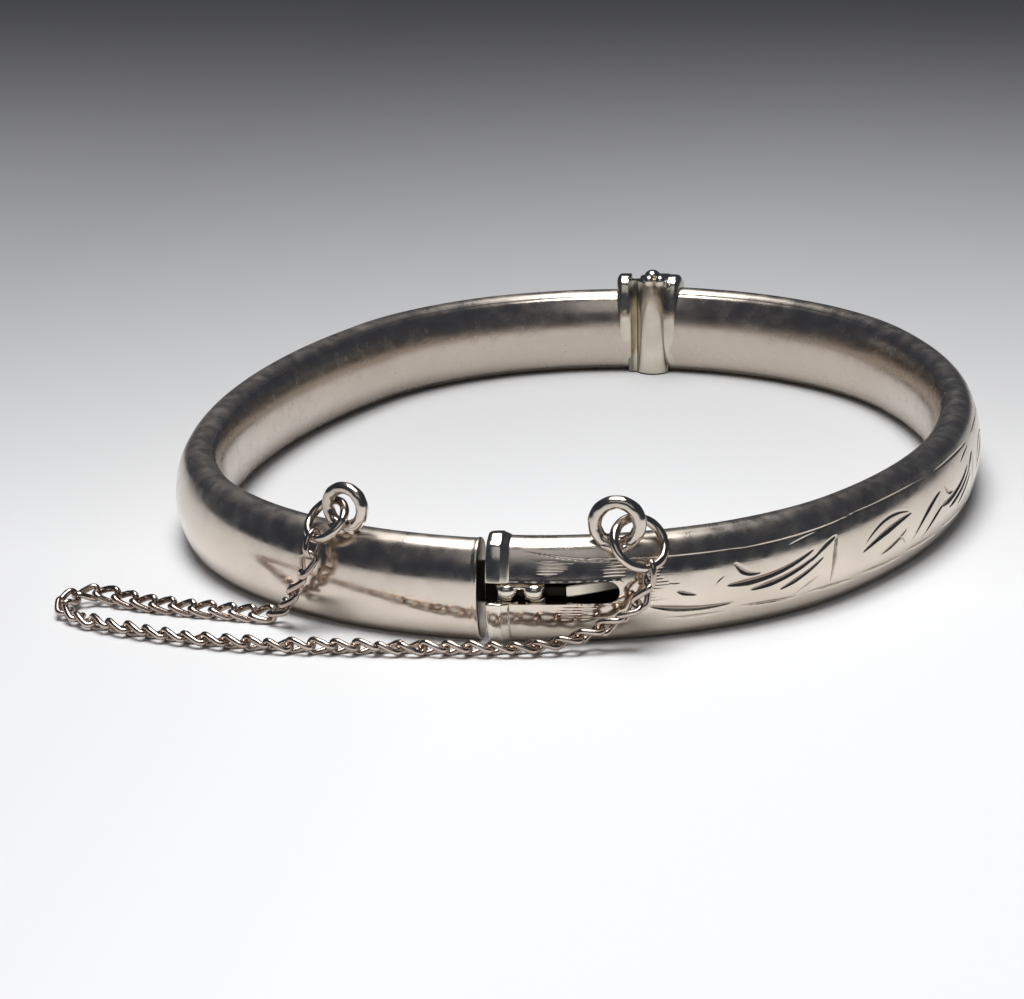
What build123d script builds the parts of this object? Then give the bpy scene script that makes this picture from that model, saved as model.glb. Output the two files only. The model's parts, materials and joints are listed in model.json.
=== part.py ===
"""Hinged silver bangle with a box clasp and a curb safety chain.

Millimetres, +Z up. The bangle lies on the plane Z = 0 with its long axis on Y:
the clasp is at -Y, the hinge at +Y, the plain half at -X and the engraved half at +X.
"""

from build123d import *
import os
from math import atan2, cos, degrees, pi, radians, sin, sqrt

os.makedirs("parts", exist_ok=True)

# ---- the oval of the bangle -------------------------------------------------------------
HALF_LENGTH = 34.0  # outside, from the middle to the clasp or to the hinge
TUBE_WIDTH = 3.3  # radial
WALL = 0.4  # sheet silver
TIP_RADIUS = 1.2  # top and bottom curve of the tube's oval section
LINING_DEPTH = 0.8  # how far the inner lining reaches into the section

# ---- clasp ------------------------------------------------------------------------------
PLAIN_CLASP_END = 0.60  # from the long axis to the plain half's end face
MOUTH_START = -0.10  # from the long axis to the engraved half's mouth, just past the axis
END_PLATE = 0.6
COLLAR_BAND = 0.85  # length of the flat band round the mouth
COLLAR_FLANK = 0.5
COLLAR_RISE = 0.26
SLOT_HEIGHT = 1.3
SLOT_Z = 3.4
SLOT_END_X = 7.75
CATCH_AT = 4.35  # from the long axis to the catch plate
CATCH_THICKNESS = 0.4
CATCH_LEVEL = 1.6  # the plate hangs from the outer wall down to this level
LEAF = 0.3  # thickness of the tongue's two leaves
FOLD_AT = 9.0  # from the long axis to the fold of the tongue
FOLD_LEVEL = 0.72

# ---- hinge ------------------------------------------------------------------------------
HINGE_Y = 31.6
BARREL_RADIUS = 0.95
PIN_RADIUS = 0.42
PIN_CLEARANCE = 0.03
HINGE_HEIGHT = 7.5
PLAIN_HINGE_END = 1.7
ENGRAVED_HINGE_END = 1.0
HINGE_PLATE = 0.9
KNUCKLE_LEVELS = (0.05, 2.1, 4.9, 7.55)
KNUCKLE_GAP = 0.06
COVER_RADII = (1.0, 1.3)  # the curved strap that hides the knuckles from the wrist side
COVER_REACH = 0.55  # how far the strap's edges stay inside the hinge axis
BEAD_RADIUS = 0.46

# ---- rings and chain --------------------------------------------------------------------
LINK_LENGTH = 1.9
LINK_WIDTH = 1.05
LINK_WIRE = 0.21
END_LINK_WIDTH = 1.3  # the end links are wider, to pass over the jump rings' wire
CHAIN_Z = 0.47
# The chain's run as it lies: from the engraved half's ring, down to the table, along the
# front to the plain side, round a tight turn and back along the tube to the other ring.
CHAIN_ROUTE = [
    (9.57, -33.10, 5.40),
    (9.55, -33.30, 4.1),
    (8.8, -33.5, 2.8),
    (7.5, -33.7, 1.8),
    (5.8, -34.2, 1.1),
    (3.4, -34.9, 0.6),
    (0.0, -35.5, CHAIN_Z),
    (-4.8, -36.0, CHAIN_Z),
    (-10.4, -36.5, CHAIN_Z),
    (-15.1, -36.4, CHAIN_Z),
    (-20.1, -35.4, CHAIN_Z),
    (-23.8, -34.2, CHAIN_Z),
    (-26.0, -32.9, CHAIN_Z),
    (-27.2, -31.1, 0.6),
    (-26.0, -29.4, 0.75),
    (-24.0, -29.6, 0.6),
    (-20.5, -30.4, CHAIN_Z),
    (-16.0, -31.0, CHAIN_Z),
    (-13.6, -31.5, 0.8),
    (-12.3, -32.3, 2.3),
    (-11.4, -32.6, 4.0),
    (-10.89, -31.86, 6.01),
]
# Links in each rigid length of chain, from the engraved half's ring onwards.
CHAIN_GROUPS = [6, 5, 5, 5, 5, 4, 3, 6, 8]


class HalfOval:
    """The centreline of one half: a clasp arc, a side arc and a hinge arc, all tangent.

    side is +1 for the half at +X and -1 for the half at -X. Distances along the half are
    measured from the long axis at the clasp (`from_clasp`) or at the hinge (`from_hinge`).
    """

    def __init__(self, side, half_width, clasp_radius, hinge_radius, height):
        self.side = side
        self.height = height
        self.clasp_radius = clasp_radius
        self.hinge_radius = hinge_radius
        reach = HALF_LENGTH - TUBE_WIDTH / 2
        width = half_width - TUBE_WIDTH / 2
        self.clasp_y = -reach + clasp_radius
        self.hinge_y = reach - hinge_radius
        # The side arc is tangent inside to both end arcs and passes at `width` from the axis.
        span = self.hinge_y - self.clasp_y
        slope = (hinge_radius - clasp_radius) / span
        offset = (self.hinge_y**2 - self.clasp_y**2 - hinge_radius**2 + clasp_radius**2) / (2 * span)
        linear = slope * (offset - self.clasp_y) - (width - clasp_radius)
        constant = (offset - self.clasp_y) ** 2 + width**2 - clasp_radius**2
        self.side_radius = constant / (sqrt(linear**2 - slope**2 * constant) - linear)
        self.side_y = slope * self.side_radius + offset
        self.side_x = width - self.side_radius
        self.clasp_turn = atan2(-self.side_x, self.clasp_y - self.side_y)
        self.hinge_turn = atan2(-self.side_x, self.hinge_y - self.side_y)

    def arc(self, x, y, radius, start, end):
        """An arc between two angles measured from +Y towards this half's side."""
        first, last = (90 - degrees(a) if self.side > 0 else 90 + degrees(a) for a in (start, end))
        return CenterArc((self.side * x, y), radius, first, last - first)

    def path(self, from_clasp=0.0, from_hinge=0.0):
        """The centreline from the clasp to the hinge, shortened at each end, at mid height."""
        first = pi - from_clasp / self.clasp_radius
        last = from_hinge / self.hinge_radius
        arcs = [
            self.arc(0, self.clasp_y, self.clasp_radius, first, self.clasp_turn),
            self.arc(self.side_x, self.side_y, self.side_radius, self.clasp_turn, self.hinge_turn),
            self.arc(0, self.hinge_y, self.hinge_radius, self.hinge_turn, last),
        ]
        return Pos(0, 0, self.height / 2) * Wire(arcs)

    def clasp_path(self, start, end):
        """A stretch of the clasp arc, from and to distances from the long axis."""
        turns = [pi - distance / self.clasp_radius for distance in (start, end)]
        edge = self.arc(0, self.clasp_y, self.clasp_radius, *turns)
        return Pos(0, 0, self.height / 2) * Wire([edge])

    def hinge_path(self, start, end, z):
        """A stretch of the hinge arc, from and to distances from the long axis."""
        turns = [distance / self.hinge_radius for distance in (end, start)]
        edge = self.arc(0, self.hinge_y, self.hinge_radius, *turns)
        return Pos(0, 0, z) * Wire([edge])

    def sweep(self, face, path):
        """Sweep a section whose +X is outwards and whose +Y is up along a path."""
        tangent = path % 0
        outward = Vector(0, 0, 1).cross(tangent) * self.side * -1
        plane = Plane(origin=path @ 0, x_dir=outward, z_dir=outward.cross(Vector(0, 0, 1)))
        return sweep(sections=plane * face, path=path).solid()


def oval_face(width, height, tip_radius):
    """An oval of two tip arcs and two flatter side arcs, all tangent."""
    half_w = width / 2
    rise = height / 2 - tip_radius
    side_radius = (rise**2 + half_w**2 - tip_radius**2) / (2 * (half_w - tip_radius))
    turn = degrees(atan2(rise, side_radius - half_w))
    shift = side_radius - half_w
    edges = [
        CenterArc((-shift, 0), side_radius, -turn, 2 * turn),
        CenterArc((0, rise), tip_radius, turn, 180 - 2 * turn),
        CenterArc((shift, 0), side_radius, 180 - turn, 2 * turn),
        CenterArc((0, -rise), tip_radius, 180 + turn, 180 - 2 * turn),
    ]
    return Face(Wire(edges))


def tube_face(height, grow=0.0):
    """The outline of the bangle's tube, made bigger all round by `grow`."""
    return oval_face(TUBE_WIDTH + 2 * grow, height + 2 * grow, TIP_RADIUS + grow)


PLAIN = HalfOval(-1, 25.9, 23.8, 21.4, 6.25)
ENGRAVED = HalfOval(+1, 26.9, 22.6, 22.6, 6.5)

# The tongue is curved round the hinge axis, so that it slides out of the mouth along itself.
# Levels count outwards from the lining's surface at the mouth.
BASE_RADIUS = HINGE_Y + HALF_LENGTH - TUBE_WIDTH + WALL


def clasp_point(distance, level):
    """The point at a distance from the long axis, along the circle round the hinge axis."""
    turn = distance / BASE_RADIUS
    radius = BASE_RADIUS + level
    return (radius * sin(turn), HINGE_Y - radius * cos(turn))


def prism(points, z, half_height):
    """An upright solid on a polygon of (distance, level) points."""
    outline = make_face(Polyline(*[clasp_point(*p) for p in points], close=True))
    return Pos(0, 0, z - half_height) * extrude(outline, 2 * half_height)


def skin_and_lining(half, path):
    """The tube's two pressings: the outer shell and the lining against the wrist."""
    ring = tube_face(half.height) - tube_face(half.height, -WALL)
    split = TUBE_WIDTH / 2 - LINING_DEPTH
    inner_side = Pos(-split - TUBE_WIDTH, 0) * Rectangle(2 * TUBE_WIDTH, 2 * half.height)
    lining = (ring & inner_side).face()
    skin = (ring - inner_side).face()
    return half.sweep(skin, path), half.sweep(lining, path)


def end_plate(half, path):
    """A flat cap that closes the tube and stands flush with it."""
    return half.sweep(tube_face(half.height), path)


def slot_cutter():
    """The space of the clasp's slot: open at the mouth, round at its far end."""
    radius = SLOT_HEIGHT / 2
    far = SLOT_END_X - radius
    outline = Pos((far - 2) / 2, 0) * Rectangle(far + 2, SLOT_HEIGHT) + Pos(far, 0) * Circle(radius)
    front = Plane(origin=(0, -HALF_LENGTH - 2, SLOT_Z), x_dir=(1, 0, 0), z_dir=(0, 1, 0))
    return extrude(front * outline, 2 + WALL + 1.9)


def mouth_collar():
    """The raised band soldered round the engraved half's mouth, with its sloping flank."""
    ends = (MOUTH_START, MOUTH_START + COLLAR_BAND, MOUTH_START + COLLAR_BAND + COLLAR_FLANK)
    band_face = tube_face(ENGRAVED.height, COLLAR_RISE) - tube_face(ENGRAVED.height)
    flank_face = tube_face(ENGRAVED.height, COLLAR_RISE / 2) - tube_face(ENGRAVED.height)
    band = ENGRAVED.sweep(band_face.face(), ENGRAVED.clasp_path(ends[0], ends[1]))
    flank = ENGRAVED.sweep(flank_face.face(), ENGRAVED.clasp_path(ends[1], ends[2]))
    below_table = Pos(0, 0, -1) * Box(6 * HALF_LENGTH, 6 * HALF_LENGTH, 2)
    return (band + flank - slot_cutter() - below_table).clean()


def catch_plate():
    """The plate inside the mouth, above and below the slot, that the sprung leaf snaps behind."""
    cavity = tube_face(ENGRAVED.height, -WALL)
    plate = ENGRAVED.sweep(cavity, ENGRAVED.clasp_path(CATCH_AT, CATCH_AT + CATCH_THICKNESS))
    keep = Pos(0, HINGE_Y, 0) * (Cylinder(BASE_RADIUS + 5, 20) - Cylinder(BASE_RADIUS + CATCH_LEVEL, 20))
    return (plate & keep) - slot_cutter()


def tongue_base_leaf():
    """The tongue's fixed leaf: a curved strip with a curl that holds the sprung leaf's bead."""
    low, high = 0.22, 0.22 + LEAF - 0.02
    z, half_height = 3.3, 1.3
    steps = 8
    start, end = -PLAIN_CLASP_END + 0.05, FOLD_AT
    along = [start + (end - start) * i / steps for i in range(steps + 1)]
    outline = [(d, low) for d in along] + [(d, high) for d in reversed(along)]
    strip = prism(outline, z, half_height)
    x, y = clasp_point(FOLD_AT, FOLD_LEVEL)
    curl = Pos(x, y, z) * (Cylinder(0.45, 2 * half_height) - Cylinder(0.2, 2 * half_height))
    bead_space = Pos(x, y, z) * Cylinder(0.2, 3 * half_height)
    opening = prism([(FOLD_AT - 1, 0.5), (FOLD_AT, 0.5), (FOLD_AT, 2), (FOLD_AT - 1, 2)], z, 2)
    return (strip + (curl - opening) - bead_space).solid()


def tongue_spring_leaf():
    """The sprung leaf: bead in the fold, raised catching end, and the arm of the thumb-piece."""
    z, half_height = SLOT_Z, 0.9
    top = CATCH_LEVEL + 0.38
    outline = [
        (FOLD_AT, FOLD_LEVEL + 0.15),
        (5.0, top),
        (5.0, 1.5),
        (3.95, 1.5),
        (3.75, 1.8),
        (0.75, 1.8),
        (0.75, 1.5),
        (3.6, 1.5),
        (3.8, 1.2),
        (5.15, 1.2),
        (5.4, 1.55),
        (FOLD_AT, FOLD_LEVEL - 0.15),
    ]
    leaf = prism(outline, z, half_height)
    x, y = clasp_point(FOLD_AT, FOLD_LEVEL)
    return (leaf + Pos(x, y, z) * Cylinder(0.17, 2 * half_height)).solid()


def thumb_piece():
    """The double-lobed press: two balls on a saddle, standing out through the slot."""
    start, end = 0.85, 3.75
    lobe = 0.55
    foot = prism([(start, 1.8), (end, 1.8), (end, 2.75), (start, 2.75)], SLOT_Z, lobe)
    piece = foot
    for distance in (start + lobe, end - lobe):
        x, y = clasp_point(distance, 2.75)
        piece += Pos(x, y, SLOT_Z) * Sphere(lobe)
    return piece.solid()


def hinge_plate(half, start):
    """A tall end plate that closes the tube at the hinge and carries the knuckles."""
    path = half.hinge_path(start, start + HINGE_PLATE, HINGE_HEIGHT / 2)
    return half.sweep(oval_face(TUBE_WIDTH + 0.1, HINGE_HEIGHT, TIP_RADIUS + 0.05), path)


def knuckle(half, start, low, high):
    """One barrel knuckle with the arm that joins it to its end plate."""
    height = high - low
    middle = (low + high) / 2
    barrel = Cylinder(BARREL_RADIUS, height)
    arm = Pos(half.side * (start + 0.1) / 2, 0.35) * Box(start + 0.1, 1.5, height)
    bore = Cylinder(PIN_RADIUS + PIN_CLEARANCE, height * 2)
    return Pos(0, HINGE_Y, middle) * (barrel + arm - bore)


def hinge_cover():
    """The curved strap round the knuckles' inner side, with two beads on its top edge."""
    inner, outer = COVER_RADII
    low, _, _, high = KNUCKLE_LEVELS
    height = high - low - 0.2
    strap = Cylinder(outer, height) - Cylinder(inner, height)
    strap &= Pos(0.5, -COVER_REACH - 1) * Box(3.1, 2, height)
    strap = Pos(0, HINGE_Y, low + height / 2) * strap
    for x in (0.05, 0.85):
        strap += Pos(x, HINGE_Y - outer + 0.15, high - 0.15) * Sphere(BEAD_RADIUS)
    return strap


def hinge_halves():
    """The engraved half's top and bottom knuckles and the plain half's middle one."""
    low, first, second, high = KNUCKLE_LEVELS
    outer = hinge_plate(ENGRAVED, ENGRAVED_HINGE_END) + hinge_cover()
    for levels in ((low, first), (second, high)):
        outer += knuckle(ENGRAVED, ENGRAVED_HINGE_END, *levels)
    middle = hinge_plate(PLAIN, PLAIN_HINGE_END)
    middle += knuckle(PLAIN, PLAIN_HINGE_END, first + KNUCKLE_GAP, second - KNUCKLE_GAP)
    return outer.solid(), middle.solid()


def hinge_pin():
    """The wire pin through the knuckles, with a domed head at the top."""
    low, _, _, high = KNUCKLE_LEVELS
    shank = Pos(0, HINGE_Y, (low + high) / 2) * Cylinder(PIN_RADIUS, high - low)
    dome = Pos(0, HINGE_Y, high - 0.15) * Sphere(0.62)
    head = dome & Pos(0, HINGE_Y, high + 1) * Box(2, 2, 2)
    return (shank + head).solid()


class RingPlace:
    """Where a round wire ring sits: its centre, the direction it faces, its two radii."""

    def __init__(self, centre, facing, radius, wire):
        self.centre = centre
        self.facing = facing
        self.radius = radius
        self.wire = wire

    def solid(self):
        """The ring as one closed torus."""
        plane = Plane(origin=self.centre, z_dir=self.facing)
        return plane * Torus(self.radius, self.wire)


def ring_on_tube(half, angle, outwards, z, facing, radius, wire):
    """A loop that stands on the tube, at an angle from the clasp about the clasp arc's centre.

    facing is how far the loop is turned from -Y towards its half's side, in degrees.
    """
    turn = radians(angle)
    reach = half.clasp_radius + outwards
    centre = (half.side * reach * sin(turn), half.clasp_y - reach * cos(turn), z)
    normal = (half.side * sin(radians(facing)), -cos(radians(facing)), 0)
    return RingPlace(centre, normal, radius, wire)


# The fixed loops are soldered upright on the tube, and each jump ring hangs in its loop.
ENGRAVED_LOOP = ring_on_tube(ENGRAVED, 18.6, 1.05, 7.45, 0, 1.32, 0.43)
PLAIN_LOOP = ring_on_tube(PLAIN, 21.6, 0.85, 7.6, 21.6, 1.22, 0.38)
ENGRAVED_RING = RingPlace((8.90, -32.38, 6.37), (0.517, -0.594, 0.617), 1.63, 0.29)
PLAIN_RING = RingPlace((-10.33, -31.23, 6.71), (-0.464, -0.546, 0.698), 1.38, 0.27)


def chain_loop(half, place):
    """A fixed loop for the chain, cut to sit on the tube, with a bead of solder at its foot."""
    tube = half.sweep(tube_face(half.height), half.clasp_path(2.0, 14.0))
    x, y, z = place.centre
    bead = Pos(x, y, z - place.radius - place.wire * 0.6) * Sphere(place.wire * 1.3)
    return ((place.solid() + bead) - tube).solid()


def link_solid(width):
    """One oval wire link, long in X and flat in XY, centred on the origin."""
    path = Wire(SlotOverall(LINK_LENGTH - LINK_WIRE, width - LINK_WIRE).edges())
    start = Plane(origin=path @ 0, z_dir=path % 0)
    return sweep(sections=start * Circle(LINK_WIRE / 2), path=path).solid()


def ring_wire_direction(place):
    """The level direction of a jump ring's wire at its lowest point."""
    return Vector(*place.facing).cross(Vector(0, 0, 1))


def chain_places():
    """The plane of each link: X along the chain, each link a quarter turn from the last.

    The end links stand square to the jump rings' wire, and the rest lie on their edges, at
    45 degrees to the table.
    """
    route = Spline(*CHAIN_ROUTE)
    count = sum(CHAIN_GROUPS)
    pitch = route.length / count
    end_normals = {0: ring_wire_direction(ENGRAVED_RING), count - 1: ring_wire_direction(PLAIN_RING)}
    places = []
    for number in range(count):
        distance = pitch * (number + 0.5)
        here = route.position_at(distance, position_mode=PositionMode.LENGTH)
        along = route.tangent_at(distance, position_mode=PositionMode.LENGTH)
        if number in end_normals:
            places.append(Plane(origin=here, x_dir=along, z_dir=end_normals[number]))
            continue
        up = along.cross(Vector(0, 0, 1)).cross(along)
        tilt = 45 if number % 2 else -45
        places.append(Plane(origin=here, x_dir=along, z_dir=up).rotated((tilt, 0, 0)))
    return places


def chain_groups():
    """The chain's rigid lengths, each a group of separate links."""
    link = link_solid(LINK_WIDTH)
    end_link = link_solid(END_LINK_WIDTH)
    places = chain_places()
    links = [place * link for place in places]
    links[0] = places[0] * end_link
    links[-1] = places[-1] * end_link
    groups = []
    first = 0
    for size in CHAIN_GROUPS:
        groups.append(Compound(children=links[first : first + size]))
        first += size
    return groups


def build():
    """Every named piece of the bangle."""
    plain_skin, plain_lining = skin_and_lining(
        PLAIN, PLAIN.path(PLAIN_CLASP_END + END_PLATE, PLAIN_HINGE_END + HINGE_PLATE)
    )
    engraved_skin, engraved_lining = skin_and_lining(
        ENGRAVED, ENGRAVED.path(MOUTH_START, ENGRAVED_HINGE_END + HINGE_PLATE)
    )
    engraved_hinge, plain_hinge = hinge_halves()
    pieces = {
        "plain_outer_shell": plain_skin,
        "plain_inner_lining": plain_lining,
        "plain_clasp_end_plate": end_plate(
            PLAIN, PLAIN.clasp_path(PLAIN_CLASP_END, PLAIN_CLASP_END + END_PLATE)
        ),
        "plain_hinge_knuckle": plain_hinge,
        "tongue_base_leaf": tongue_base_leaf(),
        "tongue_spring_leaf": tongue_spring_leaf(),
        "thumb_piece": thumb_piece(),
        "engraved_outer_shell": (engraved_skin - slot_cutter()).solid(),
        "engraved_inner_lining": engraved_lining,
        "mouth_collar": mouth_collar(),
        "catch_plate": catch_plate(),
        "engraved_hinge_knuckles": engraved_hinge,
        "hinge_pin": hinge_pin(),
        "engraved_chain_loop": chain_loop(ENGRAVED, ENGRAVED_LOOP),
        "plain_chain_loop": chain_loop(PLAIN, PLAIN_LOOP),
        "engraved_jump_ring": ENGRAVED_RING.solid(),
        "plain_jump_ring": PLAIN_RING.solid(),
    }
    for number, group in enumerate(chain_groups(), start=1):
        pieces[f"safety_chain_{number}"] = group
    return pieces


for name, shape in build().items():
    export_step(shape, f"parts/{name}.step")
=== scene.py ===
"""A hinged silver bangle, half plain and half engraved, with a box clasp and a safety chain.

Places are worked out in millimetres, in the bangle's own frame: +Z up, the long axis on Y,
the clasp at -Y and the engraved half at +X. They become metres where a mesh is made.
"""

import json
import logging
import math
from dataclasses import dataclass, field, replace
from enum import Enum

import bmesh
import bpy
import numpy as np
from mathutils import Matrix, Vector

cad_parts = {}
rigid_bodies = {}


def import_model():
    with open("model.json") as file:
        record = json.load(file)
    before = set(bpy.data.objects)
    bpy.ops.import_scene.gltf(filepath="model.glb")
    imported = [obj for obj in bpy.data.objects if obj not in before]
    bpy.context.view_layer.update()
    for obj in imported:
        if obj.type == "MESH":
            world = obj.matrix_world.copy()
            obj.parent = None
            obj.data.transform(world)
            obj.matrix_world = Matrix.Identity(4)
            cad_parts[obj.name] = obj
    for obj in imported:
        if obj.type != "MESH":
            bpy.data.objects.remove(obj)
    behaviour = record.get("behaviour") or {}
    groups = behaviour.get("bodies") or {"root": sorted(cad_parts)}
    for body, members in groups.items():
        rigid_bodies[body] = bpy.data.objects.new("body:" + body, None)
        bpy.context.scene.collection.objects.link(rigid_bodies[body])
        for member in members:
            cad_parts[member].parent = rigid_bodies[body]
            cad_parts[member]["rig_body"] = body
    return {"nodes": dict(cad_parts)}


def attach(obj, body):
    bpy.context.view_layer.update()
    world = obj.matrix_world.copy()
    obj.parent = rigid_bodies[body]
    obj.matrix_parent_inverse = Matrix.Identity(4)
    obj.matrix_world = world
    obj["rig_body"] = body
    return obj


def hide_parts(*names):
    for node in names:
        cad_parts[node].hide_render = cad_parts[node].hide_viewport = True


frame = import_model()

LOG = logging.getLogger("bangle")
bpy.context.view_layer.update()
BODY_OF = {node: thing["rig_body"] for node, thing in frame["nodes"].items()}
MM = 0.001
FULL_TURN = 2 * math.pi
Array = np.ndarray
Socket = bpy.types.NodeSocket
Triple = tuple[float, float, float]


class Body(Enum):
    """The moving bodies that pieces ride on."""

    ENGRAVED_HALF = "engraved_half"
    PLAIN_HALF = "plain_half"
    TONGUE = "tongue_spring"
    ENGRAVED_RING = "engraved_ring"
    PLAIN_RING = "plain_ring"


# ---------------------------------------------------------------------------- meshes


def grid_quads(rows: int, cols: int, wrap_rows: bool = False, wrap_cols: bool = False) -> Array:
    """The quads between neighbouring points of a grid that is stored row by row.

    Args:
        rows: number of rows of points.
        cols: number of points in a row.
        wrap_rows: whether the last row joins the first.
        wrap_cols: whether the last column joins the first.

    Returns:
        An array of point numbers with one row of four per quad.
    """
    first, second = np.meshgrid(
        np.arange(rows if wrap_rows else rows - 1),
        np.arange(cols if wrap_cols else cols - 1),
        indexing="ij",
    )
    next_row, next_col = (first + 1) % rows, (second + 1) % cols
    corners = (
        first * cols + second,
        next_row * cols + second,
        next_row * cols + next_col,
        first * cols + next_col,
    )
    return np.stack(corners, axis=-1)


@dataclass
class Surface:
    """Grids of points that become one mesh."""

    points: list[Array] = field(default_factory=list)
    quads: list[Array] = field(default_factory=list)
    cuts: list[Array] = field(default_factory=list)

    def add(
        self,
        grid: Array,
        wrap: tuple[bool, bool] = (False, False),
        keep: Array | None = None,
        cut: Array | None = None,
        flip: bool = False,
    ) -> None:
        """Add a grid of points.

        Args:
            grid: points in millimetres, as rows by columns by three.
            wrap: whether rows and columns join end to end.
            keep: which quads stay, as a table of truth values; all of them where None.
            cut: how deep an engraved cut is at each point, from 0 to 1, or how much painted shade
                darkens it, up to 1.3.
            flip: whether the faces are turned over.
        """
        rows, cols = grid.shape[:2]
        quads = grid_quads(rows, cols, *wrap)
        quads = quads[keep] if keep is not None else quads.reshape(-1, 4)
        if flip:
            quads = quads[:, ::-1]
        start = sum(len(block) for block in self.points)
        self.points.append(grid.reshape(-1, 3))
        self.quads.append(quads + start)
        self.cuts.append(np.zeros(rows * cols) if cut is None else cut.ravel())

    def piece(self, name: str, finish: "Silver", weld: bool = True) -> bpy.types.Object:
        """Make the mesh object.

        Args:
            name: the piece's name.
            finish: the metal that it is made of.
            weld: whether coinciding points are joined and the faces turned outwards.

        Returns:
            The object, at the origin.
        """
        points = np.concatenate(self.points) * MM
        quads = np.concatenate(self.quads)
        cuts = np.concatenate(self.cuts)
        used, quads = np.unique(quads, return_inverse=True)
        quads = quads.reshape(-1, 4)
        mesh = bpy.data.meshes.new(name)
        mesh.vertices.add(len(used))
        mesh.vertices.foreach_set("co", points[used].ravel())
        mesh.loops.add(quads.size)
        mesh.loops.foreach_set("vertex_index", quads.ravel().astype(np.int32))
        mesh.polygons.add(len(quads))
        mesh.polygons.foreach_set("loop_start", np.arange(0, quads.size, 4, dtype=np.int32))
        mesh.polygons.foreach_set("use_smooth", np.ones(len(quads), dtype=bool))
        cut = mesh.attributes.new("cut", "FLOAT", "POINT")
        cut.data.foreach_set("value", cuts[used].astype(np.float32))
        mesh.update()
        if weld:
            weld_points(mesh)
        mesh.validate()
        mesh.materials.append(finish.material())
        piece = bpy.data.objects.new(name, mesh)
        bpy.context.scene.collection.objects.link(piece)
        return piece


def weld_points(mesh: bpy.types.Mesh) -> None:
    """Join points that coincide, drop faces without area and turn the rest outwards."""
    work = bmesh.new()
    work.from_mesh(mesh)
    bmesh.ops.remove_doubles(work, verts=work.verts, dist=1e-7)
    bmesh.ops.recalc_face_normals(work, faces=work.faces)
    work.to_mesh(mesh)
    work.free()
    mesh.update()


def install(piece: bpy.types.Object, body: str, *nodes: str) -> None:
    """Let a piece ride on a body and stand for the CAD nodes that it replaces.

    Args:
        piece: the finished object, at the origin.
        body: the name of the body that it rides on.
        nodes: the CAD nodes that it replaces.
    """
    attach(piece, body)
    if nodes:
        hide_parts(*nodes)
    LOG.info("%s: %d faces, rides on %s", piece.name, len(piece.data.polygons), body)


def smooth_noise(x: Array, y: Array, seed: int, waves: int = 6) -> Array:
    """Gentle unevenness between -1 and 1: a mean of sine waves in seeded directions.

    Args:
        x: first coordinate of each point.
        y: second coordinate of each point.
        seed: chooses the waves.
        waves: how many of them are added.

    Returns:
        One value for each point.
    """
    generator = np.random.default_rng(seed)
    turns = generator.uniform(0, FULL_TURN, waves)
    starts = generator.uniform(0, FULL_TURN, waves)
    scales = generator.uniform(0.6, 1.7, waves)
    total = np.zeros(np.broadcast(x, y).shape)
    for turn, start, scale in zip(turns, starts, scales):
        total = total + np.sin(scale * (x * math.cos(turn) + y * math.sin(turn)) + start)
    return total / waves


def spaced(low: float, high: float, step: float) -> Array:
    """Evenly spaced values from low to high, about a step apart."""
    return np.linspace(low, high, max(2, int(round((high - low) / step)) + 1))


def round_turn(count: int) -> Array:
    """Angles round a full turn, evenly spaced, with the last one left off."""
    return np.linspace(0, FULL_TURN, count, endpoint=False)


def squared(turn: Array, power: float) -> tuple[Array, Array]:
    """A circle pressed towards a square: its cosine and sine raised to a power below one.

    Args:
        turn: angles round the circle.
        power: 1 keeps the circle, and nearer 0 is squarer.

    Returns:
        The two coordinates, from -1 to 1.
    """
    cosine, sine = np.cos(turn), np.sin(turn)
    return np.sign(cosine) * np.abs(cosine) ** power, np.sign(sine) * np.abs(sine) ** power


# -------------------------------------------------------------------------- finishes


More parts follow.
